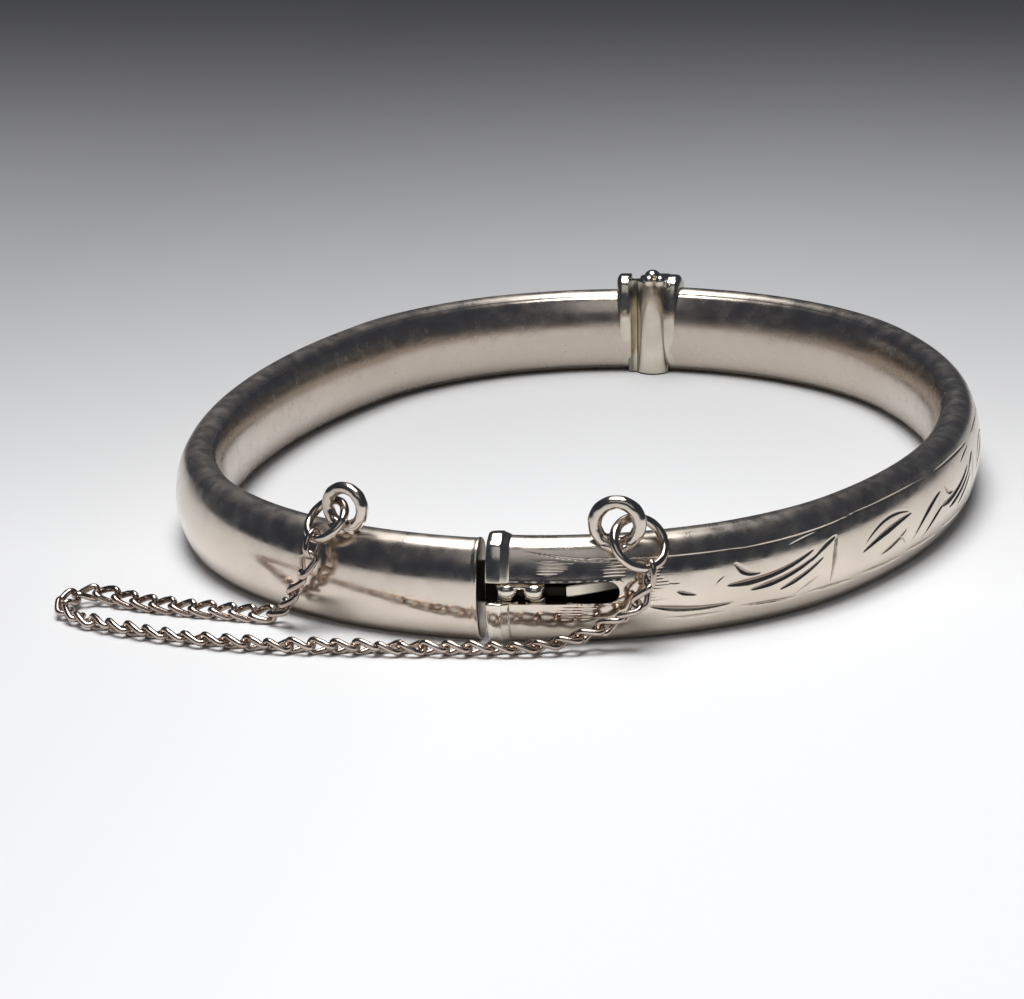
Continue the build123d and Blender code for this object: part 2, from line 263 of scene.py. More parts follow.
class Nodes:
    """Short ways to add and join the nodes of one material."""

    def __init__(self, name: str) -> None:
        """Start an empty material with a Principled surface."""
        self.material = bpy.data.materials.new(name)
        self.material.use_nodes = True
        self.tree = self.material.node_tree
        self.surface = self.tree.nodes["Principled BSDF"]
        self.place = self.tree.nodes.new("ShaderNodeTexCoord").outputs["Object"]

    def axis(self, name: str) -> Socket:
        """One of the object coordinates X, Y and Z, in metres."""
        split = self.tree.nodes.new("ShaderNodeSeparateXYZ")
        self.tree.links.new(self.place, split.inputs["Vector"])
        return split.outputs[name]

    def mapped(self, scale: Triple) -> Socket:
        """Object coordinates multiplied by a scale on each axis."""
        mapping = self.tree.nodes.new("ShaderNodeMapping")
        mapping.inputs["Scale"].default_value = scale
        self.tree.links.new(self.place, mapping.inputs["Vector"])
        return mapping.outputs["Vector"]

    def noise(self, scale: float, detail: float, stretch: Triple = (1, 1, 1)) -> Socket:
        """Noise with `scale` features in a millimetre, stretched along the axes.

        Args:
            scale: features in a millimetre.
            detail: how many finer layers are added.
            stretch: scale on each axis.

        Returns:
            The socket that gives the noise, from 0 to 1.
        """
        node = self.tree.nodes.new("ShaderNodeTexNoise")
        node.inputs["Scale"].default_value = scale / MM
        node.inputs["Detail"].default_value = detail
        self.tree.links.new(self.mapped(stretch), node.inputs["Vector"])
        return node.outputs["Fac"]

    def ramp(self, value: Socket, low: float, high: float, out_low: float, out_high: float) -> Socket:
        """A value carried from one range to another and held inside it.

        Args:
            value: the socket that gives the value.
            low: the value that becomes `out_low`.
            high: the value that becomes `out_high`.
            out_low: the result at and below `low`.
            out_high: the result at and above `high`.

        Returns:
            The socket that gives the result.
        """
        node = self.tree.nodes.new("ShaderNodeMapRange")
        for name, number in zip(
            ("From Min", "From Max", "To Min", "To Max"), (low, high, out_low, out_high)
        ):
            node.inputs[name].default_value = number
        self.tree.links.new(value, node.inputs["Value"])
        return node.outputs["Result"]

    def mix(self, share: Socket, first: Triple | Socket, second: Triple | Socket) -> Socket:
        """A blend of two colours.

        Args:
            share: how much of the second colour shows, from 0 to 1.
            first: a colour or a socket that gives one.
            second: a colour or a socket that gives one.

        Returns:
            The socket that gives the blend.
        """
        node = self.tree.nodes.new("ShaderNodeMix")
        node.data_type = "RGBA"
        self.tree.links.new(share, node.inputs["Factor"])
        for name, colour in (("A", first), ("B", second)):
            socket = next(s for s in node.inputs if s.name == name and s.type == "RGBA")
            if isinstance(colour, Socket):
                self.tree.links.new(colour, socket)
            else:
                socket.default_value = (*colour, 1)
        return next(s for s in node.outputs if s.type == "RGBA")

    def maths(self, operation: str, first: float | Socket, second: float | Socket) -> Socket:
        """One sum of two values.

        Args:
            operation: the sum's name.
            first: a number or a socket.
            second: a number or a socket.

        Returns:
            The socket that gives the result.
        """
        node = self.tree.nodes.new("ShaderNodeMath")
        node.operation = operation
        for socket, value in zip(node.inputs, (first, second)):
            if isinstance(value, Socket):
                self.tree.links.new(value, socket)
            else:
                socket.default_value = value
        return node.outputs["Value"]

    def bump(
        self, height: Socket, distance: float, strength: float, under: Socket | None = None
    ) -> Socket:
        """Relief in the surface's normal.

        Args:
            height: the relief, from 0 to 1.
            distance: its depth in millimetres.
            strength: how much of it shows, from 0 to 1.
            under: another bump that it lies over.

        Returns:
            The socket that gives the normal.
        """
        node = self.tree.nodes.new("ShaderNodeBump")
        node.inputs["Distance"].default_value = distance * MM
        node.inputs["Strength"].default_value = strength
        self.tree.links.new(height, node.inputs["Height"])
        if under is not None:
            self.tree.links.new(under, node.inputs["Normal"])
        return node.outputs["Normal"]


@dataclass(frozen=True)
class Silver:
    """Worn sterling silver: polish, tarnish in patches and cuts, painted shade in recesses, scratches
    and small dents.
    """

    name: str
    polish: Triple
    tarnish: Triple
    roughness: tuple[float, float]
    tarnish_amount: float = 0.24
    # The colour that the cut attribute blends in: patina in engraved cuts, and painted shade on faces
    # that lie in shadow.
    cut_and_shade_colour: Triple = (0.25, 0.19, 0.15)
    scratches: float = 0.25
    dents: float = 0.3
    top_wear: float = 0.0

    def material(self) -> bpy.types.Material:
        """The material, made once and then shared."""
        made = bpy.data.materials.get(self.name)
        return made if made is not None else self.make()

    def make(self) -> bpy.types.Material:
        """Build the node tree: soft patches and specks of tarnish, then three layers of relief.

        Cuts are darker and rougher by the mesh's "cut" attribute, which also paints shade on faces that
        lie in shadow, and `top_wear` roughens the tube's upper edge, which is the part that rubs.

        Returns:
            The new material.
        """
        nodes = Nodes(self.name)
        surface = nodes.surface
        surface.inputs["Metallic"].default_value = 1.0
        patches = nodes.noise(0.22, 4)
        stain = nodes.ramp(patches, 0.42, 0.68, 0.0, self.tarnish_amount)
        specks = nodes.ramp(nodes.noise(5.0, 3), 0.60, 0.72, 0.0, self.tarnish_amount * 0.7)
        colour = nodes.mix(nodes.maths("MAXIMUM", stain, specks), self.polish, self.tarnish)
        cut = nodes.tree.nodes.new("ShaderNodeAttribute")
        cut.attribute_name = "cut"
        # Patina in engraved cuts and painted shade in recesses: the cut attribute blends in the darker
        # colour.
        colour = nodes.mix(nodes.maths("MULTIPLY", cut.outputs["Fac"], 0.75), colour, self.cut_and_shade_colour)
        nodes.tree.links.new(colour, surface.inputs["Base Color"])
        wear = nodes.ramp(nodes.noise(0.9, 6), 0.35, 0.7, *self.roughness)
        rough = nodes.maths("ADD", wear, nodes.maths("MULTIPLY", cut.outputs["Fac"], 0.15))
        if self.top_wear:
            edge = nodes.ramp(nodes.axis("Z"), 4.7 * MM, 5.9 * MM, 0.0, self.top_wear)
            rough = nodes.maths("ADD", rough, edge)
        nodes.tree.links.new(rough, surface.inputs["Roughness"])
        dents = nodes.bump(nodes.noise(0.35, 1), 0.05, self.dents)
        pits = nodes.bump(nodes.noise(7.0, 2), 0.004, self.scratches, dents)
        lines = nodes.bump(nodes.noise(1.3, 3, (1.0, 1.0, 9.0)), 0.006, self.scratches, pits)
        nodes.tree.links.new(lines, surface.inputs["Normal"])
        return nodes.material


PLAIN_SILVER = Silver("worn_plain", (0.68, 0.60, 0.52), (0.38, 0.31, 0.26), (0.10, 0.22), top_wear=0.16)
ENGRAVED_SILVER = Silver(
    "worn_engraved", (0.72, 0.64, 0.55), (0.40, 0.33, 0.27), (0.08, 0.20), top_wear=0.14
)
LINING_SILVER = Silver(
    "worn_lining", (0.62, 0.54, 0.47), (0.46, 0.40, 0.35), (0.20, 0.30), 0.15, scratches=0.2
)
# Its near-black cut colour is painted shade, used where the sprung leaf goes into the slot.
CLASP_SILVER = Silver(
    "filed_clasp", (0.74, 0.69, 0.59), (0.34, 0.28, 0.20), (0.10, 0.24), 0.5, (0.05, 0.04, 0.03), 0.12
)
# Near-black painted shade for the parts inside the slot and the mouth: the hollow, the catch plate, the
# tongue's base leaf and the leaf's neck.
PAINTED_SHADE_SILVER = Silver(
    "painted_shade_inside", (0.03, 0.025, 0.02), (0.012, 0.010, 0.008), (0.5, 0.7), 0.8, scratches=0.1
)
WIRE_SILVER = Silver(
    "worn_wire", (0.64, 0.57, 0.50), (0.26, 0.20, 0.16), (0.10, 0.24), 0.5, scratches=0.10
)
CHAIN_SILVER = Silver(
    "worn_chain", (0.54, 0.45, 0.39), (0.22, 0.16, 0.13), (0.12, 0.26), 0.5, scratches=0.06
)


# ---------------------------------------------------------------------- the half tubes


@dataclass(frozen=True)
class Oval:
    """The tube's section: round tips at the top and bottom joined by flatter sides."""

    width: float
    height: float
    tip: float = 1.2

    @property
    def rise(self) -> float:
        """How far each tip's centre is above or below the middle."""
        return self.height / 2 - self.tip

    @property
    def side_radius(self) -> float:
        """The radius of the flatter sides, tangent to the tips."""
        half = self.width / 2
        return (self.rise**2 + half**2 - self.tip**2) / (2 * (half - self.tip))

    @property
    def turn(self) -> float:
        """The normal's angle where a side meets a tip."""
        return math.atan2(self.rise, self.side_radius - self.width / 2)

    def at(self, angle: Array, grow: Array | float = 0.0) -> tuple[Array, Array]:
        """The outline's point whose normal makes an angle with straight out.

        The point is the centre of the arc that has such a normal, plus the arc's radius
        along that normal.

        Args:
            angle: the normal's angle, 0 straight out and a quarter turn straight up.
            grow: how far outside the outline the point stands.

        Returns:
            Distances outwards and upwards from the section's middle.
        """
        on_tip = np.abs(np.sin(angle)) > math.sin(self.turn)
        radius = np.where(on_tip, self.tip, self.side_radius) + grow
        shift = self.side_radius - self.width / 2
        out = np.where(on_tip, 0.0, -shift * np.sign(np.cos(angle))) + radius * np.cos(angle)
        up = np.where(on_tip, self.rise * np.sign(np.sin(angle)), 0.0) + radius * np.sin(angle)
        return out, up

    def angles(self, low: float, high: float, step: float) -> Array:
        """Angles from low to high whose points are about a step apart on the outline."""
        fine = np.linspace(low, high, 4000)
        out, up = self.at(fine)
        run = np.concatenate([[0], np.cumsum(np.hypot(np.diff(out), np.diff(up)))])
        count = max(2, int(round(run[-1] / step)) + 1)
        return np.interp(np.linspace(0, run[-1], count), run, fine)

    def angle_at(self, level: Array) -> Array:
        """The angle of the outer side's point at a level above the section's middle."""
        side = np.arcsin(np.clip(level / self.side_radius, -1, 1))
        tip = np.sign(level) * np.arcsin(np.clip((np.abs(level) - self.rise) / self.tip, -1, 1))
        on_tip = np.abs(level) > self.side_radius * math.sin(self.turn)
        return np.where(on_tip, tip, side)


@dataclass
class HalfTube:
    """One half of the bangle: an oval tube along three tangent arcs.

    Distances run along the tube's centreline from the long axis at the clasp.
    """

    side: int
    half_width: float
    clasp_radius: float
    hinge_radius: float
    height: float
    half_length: float = 34.0
    width: float = 3.3

    def __post_init__(self) -> None:
        """Work out the arcs: the side arc is tangent inside to both end arcs."""
        self.section = Oval(self.width, self.height)
        reach = self.half_length - self.width / 2
        wide = self.half_width - self.width / 2
        self.clasp_y = self.clasp_radius - reach
        self.hinge_y = reach - self.hinge_radius
        span = self.hinge_y - self.clasp_y
        slope = (self.hinge_radius - self.clasp_radius) / span
        squares = self.hinge_y**2 - self.clasp_y**2 - self.hinge_radius**2 + self.clasp_radius**2
        offset = squares / (2 * span)
        linear = slope * (offset - self.clasp_y) - (wide - self.clasp_radius)
        constant = (offset - self.clasp_y) ** 2 + wide**2 - self.clasp_radius**2
        self.side_radius = constant / (math.sqrt(linear**2 - slope**2 * constant) - linear)
        self.side_y = slope * self.side_radius + offset
        self.side_x = wide - self.side_radius
        self.clasp_turn = math.atan2(-self.side_x, self.clasp_y - self.side_y)
        self.hinge_turn = math.atan2(-self.side_x, self.hinge_y - self.side_y)
        self.clasp_run = self.clasp_radius * (math.pi - self.clasp_turn)
        self.side_run = self.side_radius * (self.clasp_turn - self.hinge_turn)
        self.length = self.clasp_run + self.side_run + self.hinge_radius * self.hinge_turn

    def line(self, along: Array) -> tuple[Array, Array, Array, Array]:
        """The centreline and its outward direction.

        Args:
            along: distances from the clasp.

        Returns:
            X and Y of the centreline, then X and Y of the outward direction.
        """
        after = along - self.clasp_run
        last = after - self.side_run
        where = [after < 0, last < 0]
        radii = (self.clasp_radius, self.side_radius, self.hinge_radius)
        turn = np.select(
            where,
            [math.pi - along / radii[0], self.clasp_turn - after / radii[1]],
            self.hinge_turn - last / radii[2],
        )
        radius = np.select(where, radii[:2], radii[2])
        x = np.select(where, [0.0, self.side_x], 0.0) + radius * np.sin(turn)
        y = np.select(where, [self.clasp_y, self.side_y], self.hinge_y) + radius * np.cos(turn)
        return self.side * x, y, self.side * np.sin(turn), np.cos(turn)

    def place(self, along: Array, out: Array, up: Array) -> Array:
        """Points at distances along, outwards from and above the tube's middle line."""
        x, y, out_x, out_y = self.line(along)
        return np.stack(
            np.broadcast_arrays(x + out_x * out, y + out_y * out, self.height / 2 + up), axis=-1
        )

    def skin(self, along: Array, angle: Array, grow: Array | float = 0.0) -> Array:
        """The tube's surface: the section's outline carried along the three arcs.

        Args:
            along: distances from the clasp, one for each row or point.
            angle: angles of the section's normal, one for each column or point.
            grow: how far outside the tube each point stands.

        Returns:
            Points as rows by columns by three.
        """
        rows = along if along.ndim == 2 else along[:, None]
        cols = angle if angle.ndim == 2 else angle[None, :]
        out, up = self.section.at(cols, grow)
        return self.place(rows, out, up)

    def cap(self, along: float, angle: Array, grow: float, shares: Array) -> Array:
        """A flat end: the outline drawn in towards the section's middle.

        Args:
            along: the end's distance from the clasp.
            angle: angles of the section's normal, one for each column.
            grow: how far outside the tube the outline stands.
            shares: how much of its full size each row has, from 0 to 1.

        Returns:
            Points as rows by columns by three.
        """
        out, up = self.section.at(angle[None, :], grow)
        return self.place(np.array([[along]]), out * shares[:, None], up * shares[:, None])

    def turned_over(self) -> bool:
        """Whether a grid of rows along and columns round needs its faces turned over."""
        return self.side < 0


PLAIN = HalfTube(side=-1, half_width=25.9, clasp_radius=23.8, hinge_radius=21.4, height=6.25)
ENGRAVED = HalfTube(side=1, half_width=26.9, clasp_radius=22.6, hinge_radius=22.6, height=6.5)
SEAM_DEPTH = 0.85  # the lining's edge is this far inside the section's middle
SEAM = math.acos(-SEAM_DEPTH / PLAIN.section.tip)
OUTSIDE = (-SEAM, SEAM)  # the section angles of the outer shells
INSIDE = (SEAM, FULL_TURN - SEAM)  # and of the linings


def seam_dip(angle: Array, section: Oval, depth: float = 0.035, width: float = 0.07) -> Array:
    """How far the skin dips where shell and lining meet, as a bell curve.

    Args:
        angle: the section angle of each point.
        section: the tube's section.
        depth: the dip's depth at the seam.
        width: the distance from the seam at which a third of it is left.

    Returns:
        The dip of each point, below zero.
    """
    away = np.abs(np.abs(np.abs(angle) - math.pi) - (math.pi - SEAM)) * section.tip
    return -depth * np.exp(-((away / width) ** 2))


# ------------------------------------------------------------------------- engraving


@dataclass(frozen=True)
class Stroke:
    """One cut of the graver: a curve from start to end that bows sideways.

    Places are (distance along the half, height above the table). The cut is widest at
    `fullest` of its length and tapers to a point at both ends.
    """

    start: tuple[float, float]
    end: tuple[float, float]
    bow: float = 0.0
    width: float = 0.35
    depth: float = 0.10
    fullest: float = 0.5

    def shifted(self, along: float) -> "Stroke":
        """The same cut moved along the half."""
        start = (self.start[0] + along, self.start[1])
        return replace(self, start=start, end=(self.end[0] + along, self.end[1]))

    def carve(self, along: Array, level: Array) -> Array:
        """How deep the cut is at each point.

        The curve is a parabola over its chord. A point's share of the chord gives the cut's
        half width there, and its distance from the parabola gives the depth in a V.

        Args:
            along: distances along the half.
            level: heights above the table.

        Returns:
            Depths in millimetres, 0 away from the cut.
        """
        start, end = np.array(self.start), np.array(self.end)
        chord = end - start
        length = float(np.hypot(*chord))
        ahead = chord / length
        x, y = along - start[0], level - start[1]
        share = (x * ahead[0] + y * ahead[1]) / length
        across = -x * ahead[1] + y * ahead[0] - self.bow * 4 * share * (1 - share)
        inside = np.clip(share, 0, 1)
        rise = np.clip(inside / self.fullest, 0, 1)
        fall = np.clip((1 - inside) / (1 - self.fullest), 0, 1)
        half = 0.5 * self.width * np.sqrt(np.clip(rise * fall, 0, 1))
        close = 1 - np.abs(across) / np.maximum(half, 1e-6)
        return self.depth * np.clip(close, 0, 1) * np.sqrt(half / (0.5 * self.width + 1e-9))


def leaf(at: float) -> list[Stroke]:
    """A fan of blades that leans to one side, with a tall spike and a curl, at a distance."""
    blades = [
        Stroke((-4.4, 3.1), (1.6, 4.2), -0.35, 0.50, 0.15, 0.22),
        Stroke((-2.9, 2.55), (2.0, 3.9), -0.25, 0.42, 0.14, 0.25),
        Stroke((-0.9, 2.15), (2.4, 3.6), -0.12, 0.36, 0.12, 0.3),
        Stroke((0.2, 1.45), (2.2, 2.45), 0.08, 0.16, 0.06, 0.5),
        Stroke((1.4, 3.5), (3.5, 4.6), 0.10, 0.26, 0.10, 0.6),
        Stroke((3.1, 1.75), (3.5, 4.6), 0.05, 0.40, 0.15, 0.6),
        Stroke((-3.8, 4.35), (-2.2, 3.55), -0.28, 0.42, 0.12, 0.3),
        Stroke((-5.2, 3.05), (-4.5, 3.75), 0.1, 0.12, 0.05, 0.5),
        Stroke((-0.2, 4.75), (2.7, 5.2), 0.05, 0.14, 0.05, 0.5),
    ]
    return [blade.shifted(at) for blade in blades]


def frond(at: float) -> list[Stroke]:
    """A broad leaf with an outlined back and short blades beside it, at a distance."""
    blades = [
        Stroke((-2.6, 3.2), (3.0, 4.1), 0.75, 0.24, 0.08, 0.6),
        Stroke((-2.6, 2.9), (3.1, 4.0), 0.2, 0.46, 0.14, 0.5),
        Stroke((-0.6, 2.2), (2.6, 3.2), -0.15, 0.34, 0.10, 0.4),
        Stroke((1.0, 2.6), (2.4, 2.2), 0.3, 0.22, 0.08, 0.5),
        Stroke((3.4, 2.0), (7.6, 4.2), 0.35, 0.40, 0.12, 0.55),
        Stroke((5.0, 1.7), (8.4, 3.3), 0.2, 0.34, 0.12, 0.5),
    ]
    return [blade.shifted(at) for blade in blades]


def hatch(first: float, last: float, low: float, high: float, slant: float = 0.0) -> list[Stroke]:
    """Fine level lines close together, with ragged ends.

    Args:
        first: where the lines start along the half.
        last: where they end.
        low: the height of the lowest line.
        high: the height of the highest one.
        slant: how much each line's end rises over the one before.

    Returns:
        The lines, from the lowest up.
    """
    lines = []
    for number, level in enumerate(spaced(low, high, 0.185)):
        ragged = 0.35 * math.sin(7.3 * number + low)
        start = (first + 0.5 * abs(ragged), level)
        end = (last + ragged, level + slant * number)
        lines.append(Stroke(start, end, width=0.10, depth=0.035))
    return lines


def borders(length: float) -> list[Stroke]:
    """Long fine lines above the leaves and crescent cuts below them.

    Args:
        length: the half's length, which the repeats fill.

    Returns:
        The cuts.
    """
    cuts = [
        Stroke((1.8, 5.9), (7.0, 5.2), -0.08, 0.12, 0.05),
        Stroke((4.2, 5.45), (15.5, 5.2), -0.10, 0.13, 0.06),
        Stroke((13.6, 5.15), (24.0, 5.5), -0.12, 0.14, 0.06),
        Stroke((22.0, 5.45), (32.5, 5.5), 0.04, 0.12, 0.05),
        Stroke((9.0, 2.35), (14.2, 1.95), -0.25, 0.50, 0.13, 0.3),
        Stroke((10.0, 1.45), (13.6, 1.4), -0.05, 0.20, 0.07),
        Stroke((14.5, 1.6), (18.6, 1.4), -0.05, 0.26, 0.09),
        Stroke((19.3, 1.45), (23.3, 1.3), 0.05, 0.24, 0.08),
        Stroke((10.6, 3.15), (11.8, 2.8), -0.05, 0.30, 0.12, 0.3),
        Stroke((10.1, 3.75), (10.9, 3.7), -0.05, 0.10, 0.04),
    ]
    for start in np.arange(33.0, length - 8, 9.0):
        cuts.append(Stroke((start, 5.45), (start + 8.6, 5.4), 0.06, 0.13, 0.06))
    for start in np.arange(24.0, length - 6, 5.4):
        cuts.append(Stroke((start, 1.5), (start + 4.6, 1.35), -0.05, 0.30, 0.09, 0.35))
    return cuts


@dataclass
class Engraving:
    """The leaf engraving round the engraved half's outer face."""

    length: float

    def strokes(self) -> list[Stroke]:
        """Every cut, from the clasp to the hinge."""
        cuts = borders(self.length)
        cuts += leaf(18.0)
        for at in (26.4, 45.6, 63.0):
            cuts += frond(at)
        for at in (38.5, 57.0, 74.5):
            cuts += leaf(at)
        cuts += hatch(8.3, 10.0, 2.75, 4.6)
        cuts += hatch(6.2, 8.1, 4.35, 5.1)
        cuts += hatch(3.6, 6.3, 1.75, 2.5, -0.01)
        cuts += hatch(2.3, 4.6, 4.55, 5.3, -0.02)
        return cuts

    def depths(self, along: Array, level: Array) -> Array:
        """The depth of the deepest cut at each point of a grid.

        Args:
            along: distances along the half, as rows by columns.
            level: heights above the table, as rows by columns.

        Returns:
            Depths in millimetres.
        """
        depth = np.zeros(along.shape)
        reach = along[:, 0]
        for cut in self.strokes():
            low = min(cut.start[0], cut.end[0]) - 1.0
            high = max(cut.start[0], cut.end[0]) + 1.0
            rows = np.flatnonzero((reach >= low) & (reach <= high))
            if len(rows):
                block = slice(rows[0], rows[-1] + 1)
                deeper = cut.carve(along[block], level[block])
                depth[block] = np.maximum(depth[block], deeper)
        return depth


# ------------------------------------------------------------------------- the halves


@dataclass
class PlainHalf:
    """The plain half: outer shell, lining and the closing plate at the clasp."""

    clasp_end: float = 0.60
    plate: float = 0.6
    hinge_end: float = 1.45
    hinge_plate: float = 0.9
    step: float = 0.16
    outer_step: float = 0.09
    inner_step: float = 0.12

    def build(self) -> None:
        """Make the three pieces."""
        start = self.clasp_end + self.plate
        end = PLAIN.length - self.hinge_end - self.hinge_plate * 0.5
        along = spaced(start, end, self.step)
        section = PLAIN.section
        outer = section.angles(*OUTSIDE, self.outer_step)
        inner = section.angles(*INSIDE, self.inner_step)
        for name, angle, finish in (
            ("plain_outer_shell", outer, PLAIN_SILVER),
            ("plain_inner_lining", inner, LINING_SILVER),
        ):
            uneven = 0.012 * smooth_noise(along[:, None] * 0.7, angle[None, :] * 2.5, 5)
            grow = seam_dip(angle, section)[None, :] + uneven
            shape = Surface()
            shape.add(PLAIN.skin(along, angle, grow), flip=PLAIN.turned_over())
            install(shape.piece("skin_" + name, finish, weld=False), Body.PLAIN_HALF.value, name)
        self.end_plate()

    def end_plate(self) -> None:
        """The plate that closes the tube: a flat end, painted dark as shade where it faces the gap, a
        rounded corner and a slight rim.
        """
        angle = PLAIN.section.angles(-math.pi, math.pi, self.outer_step)[:-1]
        shape = Surface()
        rim_along = self.clasp_end + np.array([0.0, 0.015, 0.05, 0.12, 0.22, 0.30, 0.40, 0.6])
        rim_grow = np.array([-0.06, -0.015, 0.025, 0.045, 0.03, 0.0, 0.0, 0.0])
        cap = PLAIN.cap(self.clasp_end, angle, -0.06, np.linspace(0, 1, 8))
        rim = PLAIN.skin(rim_along, angle, rim_grow[:, None])
        grid = np.concatenate([cap, rim[1:]])
        # Painted shade: the flat end's rows, which face the gap between the halves, are darkened
        # through the cut attribute.
        cap_painted_shade = np.zeros(grid.shape[:2])
        cap_painted_shade[: len(cap)] = 1.3
        shape.add(grid, wrap=(False, True), cut=cap_painted_shade)
        piece = shape.piece("plain_clasp_cap", PLAIN_SILVER)
        install(piece, Body.PLAIN_HALF.value, "plain_clasp_end_plate")


@dataclass
class EngravedHalf:
    """The engraved half: shell with its slot, lining, collar and the mouth's inside."""

    mouth: float = -0.10
    wall: float = 0.4
    slot_height: float = 1.3
    slot_level: float = 3.4
    slot_end: float = 7.75
    collar_band: float = 0.85
    collar_flank: float = 0.5
    hinge_end: float = 1.0
    hinge_plate: float = 0.9
    warp_end: float = 9.6
    side_start: float = 22.0
    back_start: float = 50.0
    hollow_end: float = 12.0
    inner_step: float = 0.12

    def along_at(self, x: Array) -> Array:
        """The distance along the half of the outer surface's point at an X."""
        outer = ENGRAVED.clasp_radius + ENGRAVED.width / 2
        return ENGRAVED.clasp_radius * np.arcsin(x / outer)

    @property
    def round_start(self) -> float:
        """The distance along the half at which the slot's round end starts."""
        return float(self.along_at(np.array(self.slot_end - self.slot_height / 2)))

    def slot_angles(self) -> tuple[float, float]:
        """The section angles of the slot's lower and upper edges."""
        middle = self.slot_level - ENGRAVED.height / 2
        levels = np.array([middle - self.slot_height / 2, middle + self.slot_height / 2])
        low, high = ENGRAVED.section.angle_at(levels)
        return float(low), float(high)

    def slot_reach(self, angle: Array) -> Array:
        """Where the slot's round end lies along the half, at each section angle."""
        _, up = ENGRAVED.section.at(angle)
        away = up + ENGRAVED.height / 2 - self.slot_level
        radius = self.slot_height / 2
        bulge = np.sqrt(np.clip(radius**2 - away**2, 0, None))
        return self.along_at(self.slot_end - radius + bulge)

    def slotted(self, along: Array, step: float) -> tuple[Array, Array, Array]:
        """A grid round the outer side whose lines follow the slot's outline.

        Columns stand on the slot's two level edges. Between them, the rows past the start of
        the round end are drawn in so that the first of them lies on the round end.

        Args:
            along: distances of the rows, one of them at the start of the round end.
            step: spacing of the columns.

        Returns:
            Distances and angles of each point, and which quads stay.
        """
        section = ENGRAVED.section
        low, high = self.slot_angles()
        parts = [
            section.angles(OUTSIDE[0], low, step),
            section.angles(low, high, step),
            section.angles(high, OUTSIDE[1], step),
        ]
        angle = np.concatenate([parts[0], parts[1][1:], parts[2][1:]])
        first = len(parts[0]) - 1
        last = first + len(parts[1]) - 1
        start = self.round_start
        rows = np.repeat(along[:, None], len(angle), axis=1)
        band = slice(first, last + 1)
        reach = self.slot_reach(angle[band])[None, :]
        share = (rows[:, band] - start) / (self.warp_end - start)
        drawn = reach + share * (self.warp_end - reach)
        between = (share >= 0) & (share <= 1)
        rows[:, band] = np.where(between, drawn, rows[:, band])
        keep = np.ones((len(along) - 1, len(angle) - 1), dtype=bool)
        before = along[:-1] < start - 1e-6
        keep[np.ix_(before, np.arange(first, last))] = False
        return rows, np.repeat(angle[None, :], len(along), axis=0), keep

    def build(self) -> None:
        """Make every piece of the half's tube."""
        end = ENGRAVED.length - self.hinge_end - self.hinge_plate * 0.5
        self.shell(end)
        self.lining(end)
        self.collar()
        # The catch plate and the tongue's base leaf sit inside the slot and are painted near-black as
        # shade.
        finish_node("catch_plate", PAINTED_SHADE_SILVER)
        finish_node("tongue_base_leaf", PAINTED_SHADE_SILVER)

    def shell(self, end: float) -> None:
        """The engraved skin in three stretches, the walls of its slot and the mouth's inside.

        Args:
            end: the distance along the half at which the skin meets the hinge's plate.
        """
        engraving = Engraving(ENGRAVED.length)
        start = self.round_start
        first, second = spaced(self.mouth, start, 0.06), spaced(start, self.side_start, 0.06)
        stretches = (
            ("front", np.concatenate([first, second[1:]]), 0.048),
            ("side", spaced(self.side_start, self.back_start, 0.075), 0.055),
            ("back", spaced(self.back_start, end, 0.11), 0.07),
        )
        for name, along, step in stretches:
            rows, angles, keep = self.slotted(along, step)
            _, up = ENGRAVED.section.at(angles)
            level = up + ENGRAVED.height / 2
            depth = engraving.depths(rows, np.where(np.cos(angles) > 0, level, -9.0))
            grow = seam_dip(angles, ENGRAVED.section) - depth
            grow += 0.010 * smooth_noise(rows * 0.8, angles * 2.5, 9)
            grow += self.slot_burr(rows, level, angles)
            shape = Surface()
            shape.add(ENGRAVED.skin(rows, angles, grow), keep=keep, cut=np.clip(depth / 0.08, 0, 1))
            if name == "front":
                self.slot_walls(shape)
            piece = shape.piece("engraved_skin_" + name, ENGRAVED_SILVER, weld=False)
            install(piece, Body.ENGRAVED_HALF.value, "engraved_outer_shell")
        self.mouth_inside()

    def slot_burr(self, rows: Array, level: Array, angles: Array) -> Array:
        """A low ragged lip along the slot's edges, higher on the upper one.

        Args:
            rows: distances along the half.
            level: heights above the table.
            angles: section angles.

        Returns:
            How far the lip stands out at each point.
        """
        above = level - (self.slot_level + self.slot_height / 2)
        below = (self.slot_level - self.slot_height / 2) - level
        beside = (rows < 7.4) & (np.cos(angles) > 0)
        ragged = 0.7 + 0.3 * np.sin(9.0 * rows) * np.sin(3.7 * rows + 1.0)
        upper = 0.05 * np.exp(-((above / 0.10) ** 2)) * (above > -0.01)
        lower = 0.02 * np.exp(-((below / 0.08) ** 2)) * (below > -0.01)
        return np.where(beside, (upper + lower) * ragged, 0.0)

    def slot_outline(self) -> tuple[Array, Array]:
        """The slot's outline: its lower edge, its round end and its upper edge.

        Returns:
            Distances along the half, and heights above the table.
        """
        radius = self.slot_height / 2
        far = self.slot_end - radius
        turn = np.linspace(-math.pi / 2, math.pi / 2, 41)
        edge = np.linspace(self.mouth, far, 60)[:-1]
        flat = np.full(len(edge), radius)
        x = np.concatenate([edge, far + radius * np.cos(turn), edge[::-1]])
        z = self.slot_level + np.concatenate([-flat, radius * np.sin(turn), flat])
        return self.along_at(x), z

    def slot_walls(self, shape: Surface) -> None:
        """The cut edge of the sheet round the slot: the outline carried inwards."""
        along, level = self.slot_outline()
        angle = ENGRAVED.section.angle_at(level - ENGRAVED.height / 2)
        depth = np.array([0.045, 0.02, -0.05, -0.2, -self.wall])
        shape.add(ENGRAVED.skin(along[None, :], angle, depth[:, None]), flip=True)

